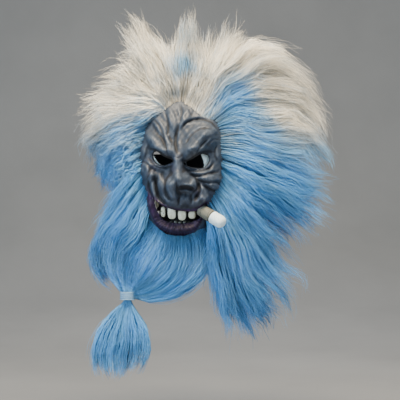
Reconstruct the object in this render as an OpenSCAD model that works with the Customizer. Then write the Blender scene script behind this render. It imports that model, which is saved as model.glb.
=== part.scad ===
// Latex monster mask with a wild mane, a tied beard and a cigar, hung on a wall.
// +Z is up and the face looks along -Y. The origin is the middle of the hanging
// eyelet. Modules under on_face() use a frame whose zero is between the eyes.

/* [Face shell] */
// Half width of the latex shell at its back rim
shell_a = 88; // [86:1:90]
// Half height of the latex shell
shell_b = 135; // [133:1:137]
// Depth of the shell without its features
shell_d = 105; // [103:1:107]
// Roundness of the shell, where 2 is an ellipsoid
shell_p = 2.4; // [2.3:0.05:2.5]
// Thickness of the latex
skin_t = 3; // [2:0.5:3]
// Thickness of the cloth scalp cap
cap_t = 2; // [1:0.5:2]
// Height of the seam between the face and the cap, above the eyes
seam_z = 76; // [72:1:80]

/* [Eyes] */
// Outer radius of an eye liner
liner_r = 16; // [14:1:17]
// Thickness of an eye liner
liner_t = 1.6; // [1.2:0.2:2]
// Radius of the hole to see through
sight_r = 9; // [7:0.5:10]

/* [Teeth] */
// Outer radius of the curved gum plate
gum_r = 60; // [59:0.5:61]
// Thickness of the gum plate
gum_t = 6; // [5:0.5:6]
// Front to back thickness of a tooth
tooth_t = 5.5; // [4:0.5:6]

/* [Cigar] */
// Radius of the rolled leaf
cigar_r = 10; // [9:0.5:10]
// Length of the leaf part
leaf_l = 22; // [18:1:26]
// Length of the ash
ash_l = 24; // [18:1:28]
// Radius of the wooden peg inside the cigar
peg_r = 3; // [2.5:0.25:3.25]
// Running clearance of the peg in the gum plate
peg_gap = 0.05; // [0.02:0.01:0.1]

/* [Strap] */
// Width of the elastic head strap
strap_w = 25; // [20:1:30]
// Thickness of the elastic
strap_t = 1.5; // [1:0.25:2]
// Shank radius of the strap rivets
rivet_r = 2; // [1.5:0.25:2.5]

/* [Hanging tab] */
// Height of the eyelet above the eyes
eyelet_h = 150; // [148:1:156]
// Radius of the eyelet's bore
eyelet_r = 4; // [3:0.5:5]
// Thickness of the webbing tab
tab_t = 2.5; // [2:0.5:3]
// Width of the webbing tab
tab_w = 30; // [26:1:34]

/* [Hair] */
// Where the hair starts, as a part of the shell's half width
root_q = 0.76; // [0.76:0.01:0.8]
// Depth of the hair beside the face
mane_front = 92; // [88:1:94]
// Depth of the hair at its tips
tip_front = 18; // [14:1:24]
// Gap between neighbouring locks, in degrees
lock_gap = 0.25; // [0.2:0.05:0.5]

/* [Beard] */
// Gap between neighbouring beard locks
beard_gap = 0.5; // [0.3:0.1:1]
// Height of the beard tie
tie_h = 13; // [10:1:14]

/* [Hidden] */
$fn = 48;

rim_y = -tab_t / 2;
shell_x = 3;              // middle of the shell
shell_z = -10;
grid_u = 30;              // cells across the face
grid_v = 40;              // cells up the face
liner_dome = 24;          // radius of the ball that an eye liner is cut from
gum_x = 2;                // axis of the curved gum plate
gum_y = -30;
cigar_at = [34, -95, -78.4];          // where the cigar leaves the lips
cigar_dir = [0.73, -0.527, -0.434];   // the way it points
leaf_in = 3;              // how far the leaf sits behind that point
peg_in = 26;              // how far the peg reaches behind it
peg_out = 14;             // and in front of it
strap_y = -8;             // back face of the strap
strap_x = 81;             // inner faces of the strap's folded ends
rivet_y = -15;
slider_x = 45;            // middle of the slider
tie_x = -83;              // middle of the beard tie
tie_y = -61;
tie_z = -206;             // top of the beard tie

skin_grey = [0.40, 0.45, 0.51];
hair_white = [0.88, 0.88, 0.86];
hair_pale = [0.66, 0.74, 0.82];
hair_blue = [0.42, 0.60, 0.78];

// Features raised from the shell: [x, z, height, spread in x, spread in z]
features = [
    [-3, -32, 24, 14, 13],      // ball of the nose
    [-3, -6, 12, 9, 18],        // bridge
    [-16, -42, 10, 9, 9],       // nostrils' sides
    [15, -40, 10, 9, 8],
    [-8, -54, 9, 8, 8],         // drooping tip
    [-22, 13, 14, 16, 9],       // angry brows
    [20, 15, 15, 18, 9],
    [44, 34, 9, 18, 13],
    [-42, 30, 8, 14, 12],
    [-27, 2, -12, 13, 8],       // eye sockets
    [24, -3, -12, 15, 9],
    [-48, -18, 7, 10, 15],      // cheeks
    [44, -34, 8, 15, 15],
    [2, -63, 9, 28, 12],        // upper lip
    [-4, -106, 15, 30, 11]      // lower lip
];
left_eye = [[-41, 7], [-35, 11], [-22, 4], [-11, -2], [-18, -6], [-27, -8], [-37, -3]];
right_eye = [[6, -6], [18, 1], [30, 7], [44, 5], [42, -4], [33, -11], [22, -12], [13, -9]];
mouth = [
    [-44, -56], [-37, -65], [-24, -72], [-10, -76], [8, -78], [26, -77], [36, -71], [44, -62],
    [44, -74], [34, -86], [24, -94], [4, -99], [-15, -97], [-28, -89], [-36, -74]
];
nostril = [[2, -44], [16, -45], [18, -41], [9, -39], [2, -40]];

function power(u) = pow(abs(u), shell_p);
function dome(q) = pow(max(0, 1 - power(q)), 1 / shell_p);
function reach(x, z) = pow(power((x - shell_x) / shell_a) + power((z - shell_z) / shell_b), 1 / shell_p);
function fade(q) = min(1, max(0, (0.86 - q) / 0.12));
function relief(x, z) = fade(reach(x, z)) * [
    for (f = features) f[2] * exp(-pow((x - f[0]) / f[3], 2) - pow((z - f[1]) / f[4], 2))
] * [for (f = features) 1];

// A point of the shell, given its direction and its distance q from the middle
// to the rim, on a surface lying g under the outer one
function shell_point(a, q, g, raised) = let (
    k = q / pow(power(cos(a)) + power(sin(a)), 1 / shell_p),
    x = shell_x + (shell_a - g) * k * cos(a),
    z = shell_z + (shell_b - g) * k * sin(a)
) [x, rim_y - (shell_d - g) * dome(q) - (raised ? relief(x, z) : 0), z];

// The same point from a square's coordinates, so that a grid has no pole
function square_point(u, v, g, raised) = let (
    s = sin(90 * u), t = sin(90 * v),
    x = s * sqrt(1 - t * t / 2), z = t * sqrt(1 - s * s / 2)
) shell_point(atan2(z, x), min(1, sqrt(x * x + z * z)), g, raised);

function shell_radius(a) = 1 / pow(power(cos(a) / shell_a) + power(sin(a) / shell_b), 1 / shell_p);

// A closed slab between two sheets of (m + 1) by (n + 1) points
module slab(front, back, m, n) {
    count = (m + 1) * (n + 1);
    edge = concat(
        [for (i = [0:m - 1]) i * (n + 1)],
        [for (j = [0:n - 1]) m * (n + 1) + j],
        [for (i = [m:-1:1]) i * (n + 1) + n],
        [for (j = [n:-1:1]) j]
    );
    faces = [
        for (i = [0:m - 1], j = [0:n - 1])
            let (a = i * (n + 1) + j, b = a + 1, c = b + n + 1, d = a + n + 1)
            each [[a, b, c], [a, c, d], [a + count, c + count, b + count], [a + count, d + count, c + count]],
        for (k = [0:len(edge) - 1])
            let (a = edge[k], b = edge[(k + 1) % len(edge)])
            each [[a, b, b + count], [a, b + count, a + count]]
    ];
    polyhedron(concat(front, back), faces, convexity = 10);
}

// The whole shell between depths g and h
module shell(g, h, raised) {
    slab(
        [for (i = [0:grid_u], j = [0:grid_v])
            square_point(2 * i / grid_u - 1, 2 * j / grid_v - 1, g, raised)],
        [for (i = [0:grid_u], j = [0:grid_v])
            square_point(2 * i / grid_u - 1, 2 * j / grid_v - 1, h, raised)],
        grid_u, grid_v
    );
}

// A strip of the shell's outside, from direction a0 to a1 and from q0 to q1
module strip(a0, a1, q0, q1) {
    m = 16;
    n = 2;
    lift = 1.2;
    slab(
        [for (i = [0:m], j = [0:n])
            shell_point(a0 + (a1 - a0) * i / m, q0 + (q1 - q0) * j / n, -lift - 0.3, false)],
        [for (i = [0:m], j = [0:n])
            shell_point(a0 + (a1 - a0) * i / m, q0 + (q1 - q0) * j / n, -0.3, false)],
        m, n
    );
}

// Puts a module drawn between the eyes where it belongs
module on_face() {
    translate([0, 0, -eyelet_h]) children();
}

// Cuts an outline on the face straight through from front to back
module through(outline) {
    rotate([90, 0, 0]) linear_extrude(150) polygon(outline);
}

// Turns a shape that stands on +Z along the cigar, from the point where it leaves the lips
module along_cigar() {
    lean = acos(cigar_dir[2]);
    turn = atan2(cigar_dir[1], cigar_dir[0]);
    translate(cigar_at) rotate([0, lean, turn]) children();
}

module half_space(low) {
    translate([-200, -200, low]) cube([400, 400, 400]);
}

module rivet_holes(r) {
    for (side = [-1, 1])
        translate([shell_x + side * 70, rivet_y, 0]) rotate([0, side * 90, 0]) cylinder(r = r, h = 40);
}

module face_skin() {
    color(skin_grey) on_face() difference() {
        shell(0, skin_t, true);
        half_space(seam_z);
        through(left_eye);
        through(right_eye);
        through(mouth);
        through(nostril);
        along_cigar() {
            translate([0, 0, -leaf_in - 1]) cylinder(r = cigar_r + 0.5, h = 60);
            translate([0, 0, -peg_in]) cylinder(r = peg_r + 1.5, h = peg_in);
        }
        rivet_holes(rivet_r + 0.1);
    }
}

// The part of the shell above height low, or up to height high, between depths g
// and h. Every row of its grid starts on the level at the bottom.
module shell_top(g, h, low, high) {
    m = 24;
    n = 14;
    side = 38.2;          // direction of its ends
    function level(a, d, z) = min(1, (z - shell_z) / (shell_b - d) / sin(a)
        * pow(power(cos(a)) + power(sin(a)), 1 / shell_p));
    function sheet(d) = [
        for (i = [0:m], j = [0:n])
            let (a = side + (180 - 2 * side) * i / m, q0 = level(a, d, low), q1 = level(a, d, high))
            shell_point(a, q0 + (q1 - q0) * sin(90 * j / n), d, false)
    ];
    slab(sheet(g), sheet(h), m, n);
}

module scalp_cap() {
    color("dimgray") on_face() shell_top(0, cap_t, seam_z + 0.3, 200);
}

// Cloth tape glued under the seam, on the inside
module seam_tape() {
    color("black") on_face() shell_top(skin_t + 0.8, skin_t + 1.8, seam_z - 8, seam_z + 8);
}

module eye_liner(x, z, front_y, sight) {
    color([0.80, 0.90, 0.92]) on_face() difference() {
        translate([x, front_y + liner_dome, z]) difference() {
            sphere(r = liner_dome);
            sphere(r = liner_dome - liner_t);
        }
        translate([x, front_y - 1, z]) rotate([-90, 0, 0]) difference() {
            cylinder(r = liner_dome + 2, h = 2 * liner_dome + 4);
            translate([0, 0, -1]) cylinder(r = liner_r, h = 2 * liner_dome + 6);
        }
        translate([x - liner_dome - 2, front_y + 6.5, z - liner_dome - 2]) cube(2 * liner_dome + 4);
        translate([sight[0], front_y - 1, sight[1]]) rotate([-90, 0, 0]) cylinder(r = sight_r, h = 12);
    }
}

module left_eye_liner() { eye_liner(-27, 2, -86, [-25, 2]); }
module right_eye_liner() { eye_liner(26, -3, -86, [22, -3]); }

// A sector of a ring about the gum's axis, between two heights
module gum_arc(r_in, r_out, a0, a1, z0, z1) {
    translate([gum_x, gum_y, z0]) rotate([0, 0, -90 + a0])
        rotate_extrude(angle = a1 - a0) translate([r_in, 0]) square([r_out - r_in, z1 - z0]);
}

module gum_plate() {
    color([0.20, 0.12, 0.16]) on_face() difference() {
        gum_arc(gum_r - gum_t, gum_r, -40, 42, -79, -58);
        along_cigar() translate([0, 0, -peg_in - 4]) cylinder(r = peg_r + peg_gap, h = peg_in + 40);
    }
}

// A tooth hanging in front of the gum plate: w wide, from top down to tip
module tooth(x, top, tip, w, tip_w) {
    turn = asin((x - gum_x) / (gum_r + tooth_t / 2));
    round_at = (top - tip) * 0.3;
    color([0.86, 0.85, 0.72]) on_face()
        translate([gum_x, gum_y, 0]) rotate([0, 0, turn]) translate([0, -gum_r - 0.3, 0])
        rotate([90, 0, 0]) linear_extrude(tooth_t) polygon([
            [-w / 2 * 0.85, top], [w / 2 * 0.85, top], [w / 2, tip + round_at],
            [tip_w / 2, tip + round_at * 0.2], [tip_w / 3, tip],
            [-tip_w / 3, tip], [-tip_w / 2, tip + round_at * 0.2], [-w / 2, tip + round_at]
        ]);
}

module left_fang() { tooth(-35, -60, -73, 5, 2); }
module cracked_tooth() { tooth(-25, -73, -87, 8.5, 7.5); }
module left_front_tooth() { tooth(-13, -70, -91, 13.5, 12); }
module right_front_tooth() { tooth(3, -72, -93, 14, 12); }
module right_side_tooth() { tooth(18.5, -78, -91, 12.5, 11); }
module corner_tooth() { tooth(40, -60, -70, 5, 3); }

// The lower row, a curved strip with small cusps
module lower_teeth() {
    color([0.80, 0.79, 0.68]) on_face() {
        gum_arc(gum_r - 5, gum_r - 1, -18, 14, -105, -99);
        for (a = [-16, -8, 0, 8])
            gum_arc(gum_r - 4.5, gum_r - 1.5, a, a + 5, -99, -94.5);
    }
}

module mouth_gauze() {
    color("black") on_face() gum_arc(48.4, 49, -46, 46, -110, -56);
}

module cigar_leaf() {
    color([0.55, 0.50, 0.36]) on_face() along_cigar() translate([0, 0, -leaf_in]) difference() {
        cylinder(r1 = cigar_r - 1, r2 = cigar_r, h = leaf_l + leaf_in);
        translate([0, 0, -1]) cylinder(r = peg_r, h = peg_out + leaf_in + 1);
    }
}

module cigar_ash() {
    color([0.88, 0.90, 0.90]) on_face() along_cigar() translate([0, 0, leaf_l]) {
        cylinder(r = cigar_r, h = ash_l - 6);
        translate([0, 0, ash_l - 6]) cylinder(r1 = cigar_r, r2 = cigar_r - 3, h = 6);
    }
}

module cigar_peg() {
    color("burlywood") on_face() along_cigar() translate([0, 0, -peg_in])
        cylinder(r = peg_r, h = peg_in + peg_out);
}

module hang_tab() {
    color("black") difference() {
        translate([-tab_w / 2, -tab_t / 2, -38]) cube([tab_w, tab_t, 52]);
        translate([0, -tab_t, 0]) rotate([-90, 0, 0]) cylinder(r = eyelet_r + 1.2, h = 2 * tab_t);
    }
}

module hang_eyelet() {
    flange_t = 0.8;
    color("goldenrod") rotate([-90, 0, 0]) difference() {
        union() {
            translate([0, 0, -tab_t / 2]) cylinder(r = eyelet_r + 1.2, h = tab_t);
            for (z = [-tab_t / 2 - flange_t, tab_t / 2])
                translate([0, 0, z]) cylinder(r = eyelet_r + 5, h = flange_t);
        }
        translate([0, 0, -tab_t]) cylinder(r = eyelet_r, h = 2 * tab_t);
    }
}

// The strap crosses the open back and is folded forward at both ends
module head_strap() {
    color([0.12, 0.12, 0.13]) on_face() difference() {
        union() {
            translate([shell_x - strap_x, strap_y - strap_t, -strap_w / 2])
                cube([2 * strap_x, strap_t, strap_w]);
            for (side = [-1, 1])
                translate([shell_x + side * (strap_x - strap_t / 2) - strap_t / 2, strap_y - 18, -strap_w / 2])
                    cube([strap_t, 18, strap_w]);
        }
        rivet_holes(rivet_r + 0.1);
    }
}

module strap_rivets() {
    head_t = 1.2;
    color("silver") on_face()
        for (side = [-1, 1])
            translate([shell_x + side * (strap_x - strap_t - 1.1), rivet_y, 0]) rotate([0, side * 90, 0]) {
                cylinder(r = rivet_r, h = shell_a - strap_x + strap_t + 1.7);
                translate([0, 0, shell_a - strap_x + strap_t + 1.7]) cylinder(r = 4.5, h = head_t);
            }
}

module strap_washers() {
    color("silver") on_face()
        for (side = [-1, 1])
            translate([shell_x + side * (strap_x - strap_t - 0.1), rivet_y, 0]) rotate([0, -side * 90, 0])
                difference() {
                    cylinder(r = 5, h = 1);
                    translate([0, 0, -1]) cylinder(r = rivet_r + 0.05, h = 3);
                }
}

// Two outer bars in front of the strap, one behind it, and rails past its edges
module strap_slider() {
    gap = 0.3;
    bar = 4;
    length = 24;
    rail_z = strap_w / 2 + gap;
    color([0.10, 0.10, 0.11]) on_face() translate([slider_x, strap_y, 0]) {
        for (side = [-1, 1])
            translate([-length / 2, -strap_t - gap - 2, side > 0 ? rail_z : -rail_z - 3])
                cube([length, strap_t + 2 * gap + 3.6, 3]);
        for (x = [-length / 2, length / 2 - bar])
            translate([x, -strap_t - gap - 2, -rail_z]) cube([bar, 2, 2 * rail_z]);
        translate([-bar / 2, gap, -rail_z]) cube([bar, 1.6, 2 * rail_z]);
    }
}

module crown_weft() { color("gray") on_face() strip(52, 128, 0.86, 0.92); }
module left_weft() { color("gray") on_face() strip(132, 228, 0.86, 0.91); }
module right_weft() { color("gray") on_face() strip(-68, 48, 0.86, 0.91); }
module beard_weft() { color("gray") on_face() strip(234, 288, 0.86, 0.92); }

// A lock of the mane between directions a0 and a1, seen from the front. Its
// outline runs from r0 to a tip at r_tip, a share u_tip of the way round, to r1.
module mane_lock(a0, a1, r0, r_tip, r1, u_tip, paint) {
    m = 6;
    steps = 6;
    n = steps + 2;
    function outline(u) = r0 + (r1 - r0) * u + (r_tip - r0 - (r1 - r0) * u_tip)
        * pow(1 - abs(u - u_tip) / (u < u_tip ? u_tip : 1 - u_tip), 1.2);
    // first the part over the shell, then the part beside it
    function radius(u, j) = let (rim = shell_radius(a0 + (a1 - a0) * u))
        j == 0 ? rim * root_q : j == 1 ? rim * 1.03 : rim * 1.12 + (outline(u) - rim * 1.12) * (j - 2) / steps;
    function point(i, j, y) = let (
        u = i / m,
        a = a0 + lock_gap + (a1 - a0 - 2 * lock_gap) * u
    ) [shell_x + radius(u, j) * cos(a), y, shell_z + radius(u, j) * sin(a)];
    function front(j) = j == 0 ? mane_front - 4 : j == 1 ? mane_front
        : mane_front + (tip_front - mane_front) * pow((j - 2) / steps, 1.4);
    function back(j) = j < 2 ? 81.5 : 24 - 18 * (j - 2) / steps;
    color(paint) on_face() slab(
        [for (i = [0:m], j = [0:n]) point(i, j, -back(j))],
        [for (i = [0:m], j = [0:n]) point(i, j, -front(j))],
        m, n
    );
}

module crown_spike() { mane_lock(80, 100, 205, 287, 215, 1 / 2, hair_white); }
module crown_left_lock() { mane_lock(100, 121, 215, 278, 225, 2 / 3, hair_white); }
module crown_right_lock() { mane_lock(50, 66, 226, 250, 232, 2 / 3, hair_white); }
module crown_right_spike() { mane_lock(66, 80, 232, 272, 215, 1 / 3, hair_white); }
module left_mane_top() { mane_lock(121, 139, 205, 222, 196, 1 / 2, hair_white); }
module left_mane_upper() { mane_lock(139, 158, 196, 210, 178, 1 / 3, hair_white); }
module left_mane_middle() { mane_lock(158, 182, 178, 176, 148, 1 / 3, hair_pale); }
module left_mane_lower() { mane_lock(182, 206, 148, 155, 134, 1 / 6, hair_pale); }
module left_whiskers() { mane_lock(206, 234, 134, 146, 132, 1 / 2, hair_blue); }
module right_mane_upper() { mane_lock(28, 50, 238, 246, 226, 1 / 2, hair_white); }
module right_mane_middle() { mane_lock(8, 28, 240, 256, 238, 1 / 3, hair_pale); }
module right_mane_low() { mane_lock(-14, 8, 226, 246, 240, 5 / 6, hair_pale); }
module right_wisp() { mane_lock(-24, -14, 216, 272, 226, 1 / 3, hair_blue); }
module right_side_lock() { mane_lock(-42, -24, 238, 226, 216, 1 / 2, hair_blue); }
module right_hanging_lock() { mane_lock(-57, -42, 276, 292, 238, 1 / 3, hair_blue); }
module right_lower_lock() { mane_lock(-68, -57, 262, 306, 276, 1 / 3, hair_blue); }
module right_inner_lock() { mane_lock(-74, -68, 200, 302, 262, 1 / 3, hair_blue); }

// One value of a smooth curve through a list's values, w of the way past item i
function smooth(v, i, w) = let (
    a = v[max(0, i - 1)], b = v[i], c = v[min(len(v) - 1, i + 1)], d = v[min(len(v) - 1, i + 2)]
) b + w * ((c - a) / 2 + w * ((a - 2.5 * b + 2 * c - d / 2) + w * (1.5 * (b - c) + (d - a) / 2)));

// A closed lock through stations [x, y, z, half width, half depth]
module loft(stations) {
    sides = 12;
    steps = 2;
    rings = concat(
        [for (i = [0:len(stations) - 2], s = [0:steps - 1]) smooth(stations, i, s / steps)],
        [stations[len(stations) - 1]]
    );
    last = len(rings) - 1;
    polyhedron(
        [for (r = rings, k = [0:sides - 1])
            [r[0] + r[3] * cos(360 * k / sides), r[1] + r[4] * sin(360 * k / sides), r[2]]],
        concat(
            [[for (k = [0:sides - 1]) k]],
            [for (i = [0:last - 1], k = [0:sides - 1])
                let (a = i * sides + k, b = i * sides + (k + 1) % sides)
                each [[a, a + sides, b], [b, a + sides, b + sides]]],
            [[for (k = [sides - 1:-1:0]) last * sides + k]]
        ),
        convexity = 4
    );
}

module left_outer_lock() {
    color(hair_blue) on_face() loft([
        [-126, -22, -104, 9, 9], [-131, -22, -120, 11, 11], [-134, -21, -140, 11, 11],
        [-132, -20, -165, 9, 10], [-126, -20, -185, 7, 8], [-119, -20, -200, 3, 4]
    ]);
}

// The beard's levels: [z, y, half depth, left edge, first parting, second parting, right edge]
beard_rows = [
    [-144, -58, 17, -90, -47, -4, 37], [-152, -59, 17, -100, -56, -12, 39],
    [-167, -61, 16, -106, -67, -26, 31], [-185, -62, 14, -104, -76, -48, -2],
    [-197, -62, 12, -99, -83, -66, -42], [-205.7, -61, 9, -93, -87, -80, -73]
];

module beard_lock(part) {
    color(hair_blue) on_face() loft([
        for (r = beard_rows) let (x0 = r[3 + part], x1 = r[4 + part])
            [(x0 + x1) / 2, r[1], r[0], (x1 - x0) / 2 - beard_gap / 2, r[2]]
    ]);
}

module beard_left() { beard_lock(0); }
module beard_middle() { beard_lock(1); }
module beard_right() { beard_lock(2); }

module beard_tie() {
    color([0.45, 0.55, 0.68]) on_face() translate([tie_x, tie_y, tie_z - tie_h])
        rotate_extrude() translate([10.5, 0]) square([2.5, tie_h]);
}

module beard_tail() {
    color(hair_blue) on_face() loft([
        [tie_x, tie_y, -210.5, 5, 5], [tie_x, tie_y, -221, 5.5, 5.5], [tie_x - 1, tie_y, -233, 12, 9],
        [-87, -61, -255, 26, 12], [-89, -60, -290, 36, 13], [-88, -60, -322, 28, 12],
        [-92, -60, -344, 10, 7], [-94, -60, -351, 3, 3]
    ]);
}

face_skin();
scalp_cap();
seam_tape();
left_eye_liner();
right_eye_liner();
gum_plate();
left_fang();
cracked_tooth();
left_front_tooth();
right_front_tooth();
right_side_tooth();
corner_tooth();
lower_teeth();
mouth_gauze();
cigar_leaf();
cigar_ash();
cigar_peg();
hang_tab();
hang_eyelet();
head_strap();
strap_rivets();
strap_washers();
strap_slider();
crown_weft();
left_weft();
right_weft();
beard_weft();
crown_spike();
crown_left_lock();
crown_right_lock();
crown_right_spike();
left_mane_top();
left_mane_upper();
left_mane_middle();
left_mane_lower();
left_whiskers();
left_outer_lock();
right_mane_upper();
right_mane_middle();
right_mane_low();
right_wisp();
right_side_lock();
right_hanging_lock();
right_lower_lock();
right_inner_lock();
beard_left();
beard_middle();
beard_right();
beard_tie();
beard_tail();
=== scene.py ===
import bpy
import bmesh
import math
import random
import numpy as np
from mathutils import Matrix, Vector


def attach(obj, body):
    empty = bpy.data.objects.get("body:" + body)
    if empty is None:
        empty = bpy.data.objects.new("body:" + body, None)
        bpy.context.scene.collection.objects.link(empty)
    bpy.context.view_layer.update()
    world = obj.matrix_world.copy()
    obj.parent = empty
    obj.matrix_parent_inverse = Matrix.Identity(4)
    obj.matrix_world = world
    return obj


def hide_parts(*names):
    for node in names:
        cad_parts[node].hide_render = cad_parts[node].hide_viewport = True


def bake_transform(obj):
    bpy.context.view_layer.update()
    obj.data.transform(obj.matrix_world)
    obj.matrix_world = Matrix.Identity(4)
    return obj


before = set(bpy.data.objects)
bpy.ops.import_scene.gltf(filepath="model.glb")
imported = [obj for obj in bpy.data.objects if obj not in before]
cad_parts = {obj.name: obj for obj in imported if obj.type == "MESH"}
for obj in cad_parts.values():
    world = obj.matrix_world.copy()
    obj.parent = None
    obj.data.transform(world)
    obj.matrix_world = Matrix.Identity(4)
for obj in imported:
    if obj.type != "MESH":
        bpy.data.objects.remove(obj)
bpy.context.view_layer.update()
print("frame loaded:", len(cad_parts), "nodes")

mm = 0.001
eyeLevel = -0.150        # the point between the eyes, below the hanging eyelet
scene = bpy.context.scene


# small helpers

def linkPiece(name, mesh, material=None):
    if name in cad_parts:
        name += "_finished"
    piece = bpy.data.objects.new(name, mesh)
    scene.collection.objects.link(piece)
    if material:
        mesh.materials.clear()
        mesh.materials.append(material)
    return piece


def meshFrom(bm, name, smooth=True):
    mesh = bpy.data.meshes.new(name)
    bm.to_mesh(mesh)
    bm.free()
    mesh.polygons.foreach_set("use_smooth", [smooth] * len(mesh.polygons))
    return mesh


def seat(piece, body, slot, *nodes):
    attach(piece, body)
    if nodes:
        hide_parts(*nodes)


def put(tree, kind, inputs=None, **settings):
    node = tree.nodes.new("ShaderNode" + kind)
    for key, value in settings.items():
        setattr(node, key, value)
    for key, value in (inputs or {}).items():
        if isinstance(value, bpy.types.NodeSocket):
            tree.links.new(value, node.inputs[key])
        else:
            node.inputs[key].default_value = value
    return node


def mixColour(tree, factor, first, second, mode="MIX"):
    node = put(tree, "Mix", {0: factor, 6: first, 7: second}, data_type="RGBA", blend_type=mode)
    return node.outputs[2]


def ramp(tree, factor, stops):
    node = put(tree, "ValToRGB", {"Fac": factor})
    band = node.color_ramp
    while len(band.elements) < len(stops):
        band.elements.new(0.5)
    for element, (place, colour) in zip(band.elements, stops):
        element.position = place
        element.color = colour if len(colour) == 4 else (*colour, 1)
    return node.outputs["Color"]


def level(tree, value, low, high, outLow, outHigh):
    node = put(tree, "MapRange", {0: value, 1: low, 2: high, 3: outLow, 4: outHigh})
    return node.outputs[0]


def maths(tree, operation, first, second=0.0):
    return put(tree, "Math", {0: first, 1: second}, operation=operation).outputs[0]


def noiseOf(tree, place, scale, detail=4.0, rough=0.55):
    node = put(tree, "TexNoise", {"Vector": place, "Scale": scale, "Detail": detail, "Roughness": rough})
    return node.outputs["Fac"]


def startMaterial(name):
    material = bpy.data.materials.new(name)
    material.use_nodes = True
    tree = material.node_tree
    tree.nodes.clear()
    place = put(tree, "TexCoord").outputs["Object"]
    return material, tree, place


def stretched(tree, place, scale, turn=(0, 0, 0)):
    return put(tree, "Mapping", {"Vector": place, "Scale": scale, "Rotation": turn}).outputs[0]


def endMaterial(tree, colour, rough, height, strength, distance, **constants):
    shader = put(tree, "BsdfPrincipled", {"Base Color": colour, "Roughness": rough})
    for key, value in constants.items():
        shader.inputs[key.replace("_", " ")].default_value = value
    bump = put(tree, "Bump", {"Height": height, "Strength": strength, "Distance": distance * mm})
    tree.links.new(bump.outputs[0], shader.inputs["Normal"])
    put(tree, "OutputMaterial", {"Surface": shader.outputs[0]})


def readAttribute(tree, name):
    return put(tree, "Attribute", attribute_name=name).outputs["Fac"]


def paintPoints(mesh, name, values):
    # one number for each point, for a material to read
    attribute = mesh.attributes.new(name, "FLOAT", "POINT")
    attribute.data.foreach_set("value", np.asarray(values, np.float32))


def smoothStep(f):
    return f * f * (3 - 2 * f)


# camera, lights and floor

view = {"lens": 90, "middle": (31, -100, -212), "width": 616}

cameraData = bpy.data.cameras.new("camera")
cameraData.lens = view["lens"]
camera = bpy.data.objects.new("camera", cameraData)
aim = Vector(view["middle"]) * mm
distance = view["width"] * mm * view["lens"] / cameraData.sensor_width
camera.location = aim - Vector((0, distance, 0))
camera.rotation_euler = (math.radians(90), 0, 0)
scene.collection.objects.link(camera)
scene.camera = camera

lamps = [
    # name, place, aimed at, size, power, colour
    ("top lamp", (0.05, -0.62, 1.05), (0.03, -0.05, -0.12), 0.5, 62, (1.0, 0.84, 0.60)),
    ("left window", (-1.5, -1.5, 0.1), (0.02, -0.05, -0.25), 1.4, 44, (0.64, 0.83, 1.0)),
    ("right bounce", (1.5, -1.3, -0.5), (0.05, -0.05, -0.25), 1.6, 22, (0.60, 0.81, 1.0)),
    ("back glow", (0.3, 1.2, 0.6), (0.05, 0.0, -0.2), 1.2, 10, (0.9, 0.94, 1.0)),
]
for name, place, target, size, power, colour in lamps:
    lampData = bpy.data.lights.new(name, "AREA")
    lampData.size = size
    lampData.energy = power
    lampData.color = colour
    lamp = bpy.data.objects.new(name, lampData)
    lamp.location = place
    lamp.rotation_euler = (Vector(target) - Vector(place)).to_track_quat("-Z", "Y").to_euler()
    scene.collection.objects.link(lamp)

roomLight = {"colour": (0.62, 0.68, 0.76, 1), "strength": 0.55}
world = bpy.data.worlds.new("room")
world.use_nodes = True
background = world.node_tree.nodes["Background"]
background.inputs[0].default_value = roomLight["colour"]
background.inputs[1].default_value = roomLight["strength"]
scene.world = world

backdrop = {"floor": -0.62, "wall": 2.2, "reach": 6.0, "halfWidth": 6.0, "rise": 6.0, "bend": 1.0}


def makeBackdrop():
    bm = bmesh.new()
    bmesh.ops.create_grid(bm, x_segments=8, y_segments=24, size=1)
    run = backdrop["wall"] + backdrop["reach"]
    bend = backdrop["bend"]
    for vert in bm.verts:
        path = (vert.co.y + 1) / 2 * (run + backdrop["rise"])
        vert.co.x *= backdrop["halfWidth"]
        if path < run - bend:
            vert.co.y = path - backdrop["reach"]
            vert.co.z = backdrop["floor"]
        elif path < run + bend:
            turn = (path - run + bend) / (2 * bend) * math.pi / 2
            vert.co.y = backdrop["wall"] - bend + bend * math.sin(turn)
            vert.co.z = backdrop["floor"] + bend - bend * math.cos(turn)
        else:
            vert.co.y = backdrop["wall"]
            vert.co.z = backdrop["floor"] + path - run
    material, tree, place = startMaterial("pale plaster")
    soft = noiseOf(tree, place, 3.0)
    grit = noiseOf(tree, place, 160.0, 3.0)
    colour = ramp(tree, soft, [(0.3, (0.235, 0.24, 0.245)), (0.7, (0.27, 0.275, 0.28))])
    endMaterial(tree, colour, 0.9, grit, 0.25, 1.5)
    piece = linkPiece("backdrop", meshFrom(bm, "backdrop"), material)


makeBackdrop()
print("camera, lamps and backdrop ready")


# the shell that the face and its cloth follow

shell = {"halfWidth": 88.0, "halfHeight": 135.0, "depth": 105.0, "roundness": 2.4, "rim": -1.25,
         "middleX": 3.0, "middleZ": -10.0}


def reachOf(x, z):
    p = shell["roundness"]
    across = np.abs((x - shell["middleX"]) / shell["halfWidth"]) ** p
    return (across + np.abs((z - shell["middleZ"]) / shell["halfHeight"]) ** p) ** (1 / p)


def domeOf(q):
    p = shell["roundness"]
    return np.maximum(0, 1 - np.abs(q) ** p) ** (1 / p)


def discOf(a, b):
    # lays a square out on the shell's disc: the angle, and how far out it is
    s = np.sin(a * math.pi / 2)
    t = np.sin(b * math.pi / 2)
    u = s * np.sqrt(1 - t * t / 2)
    v = t * np.sqrt(1 - s * s / 2)
    return np.arctan2(v, u), np.minimum(1, np.hypot(u, v))


def outlineAt(angle):
    # how far the rim lies in one direction, as a part of the half sizes
    p = shell["roundness"]
    return 1 / (np.abs(np.cos(angle)) ** p + np.abs(np.sin(angle)) ** p) ** (1 / p)


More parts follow.
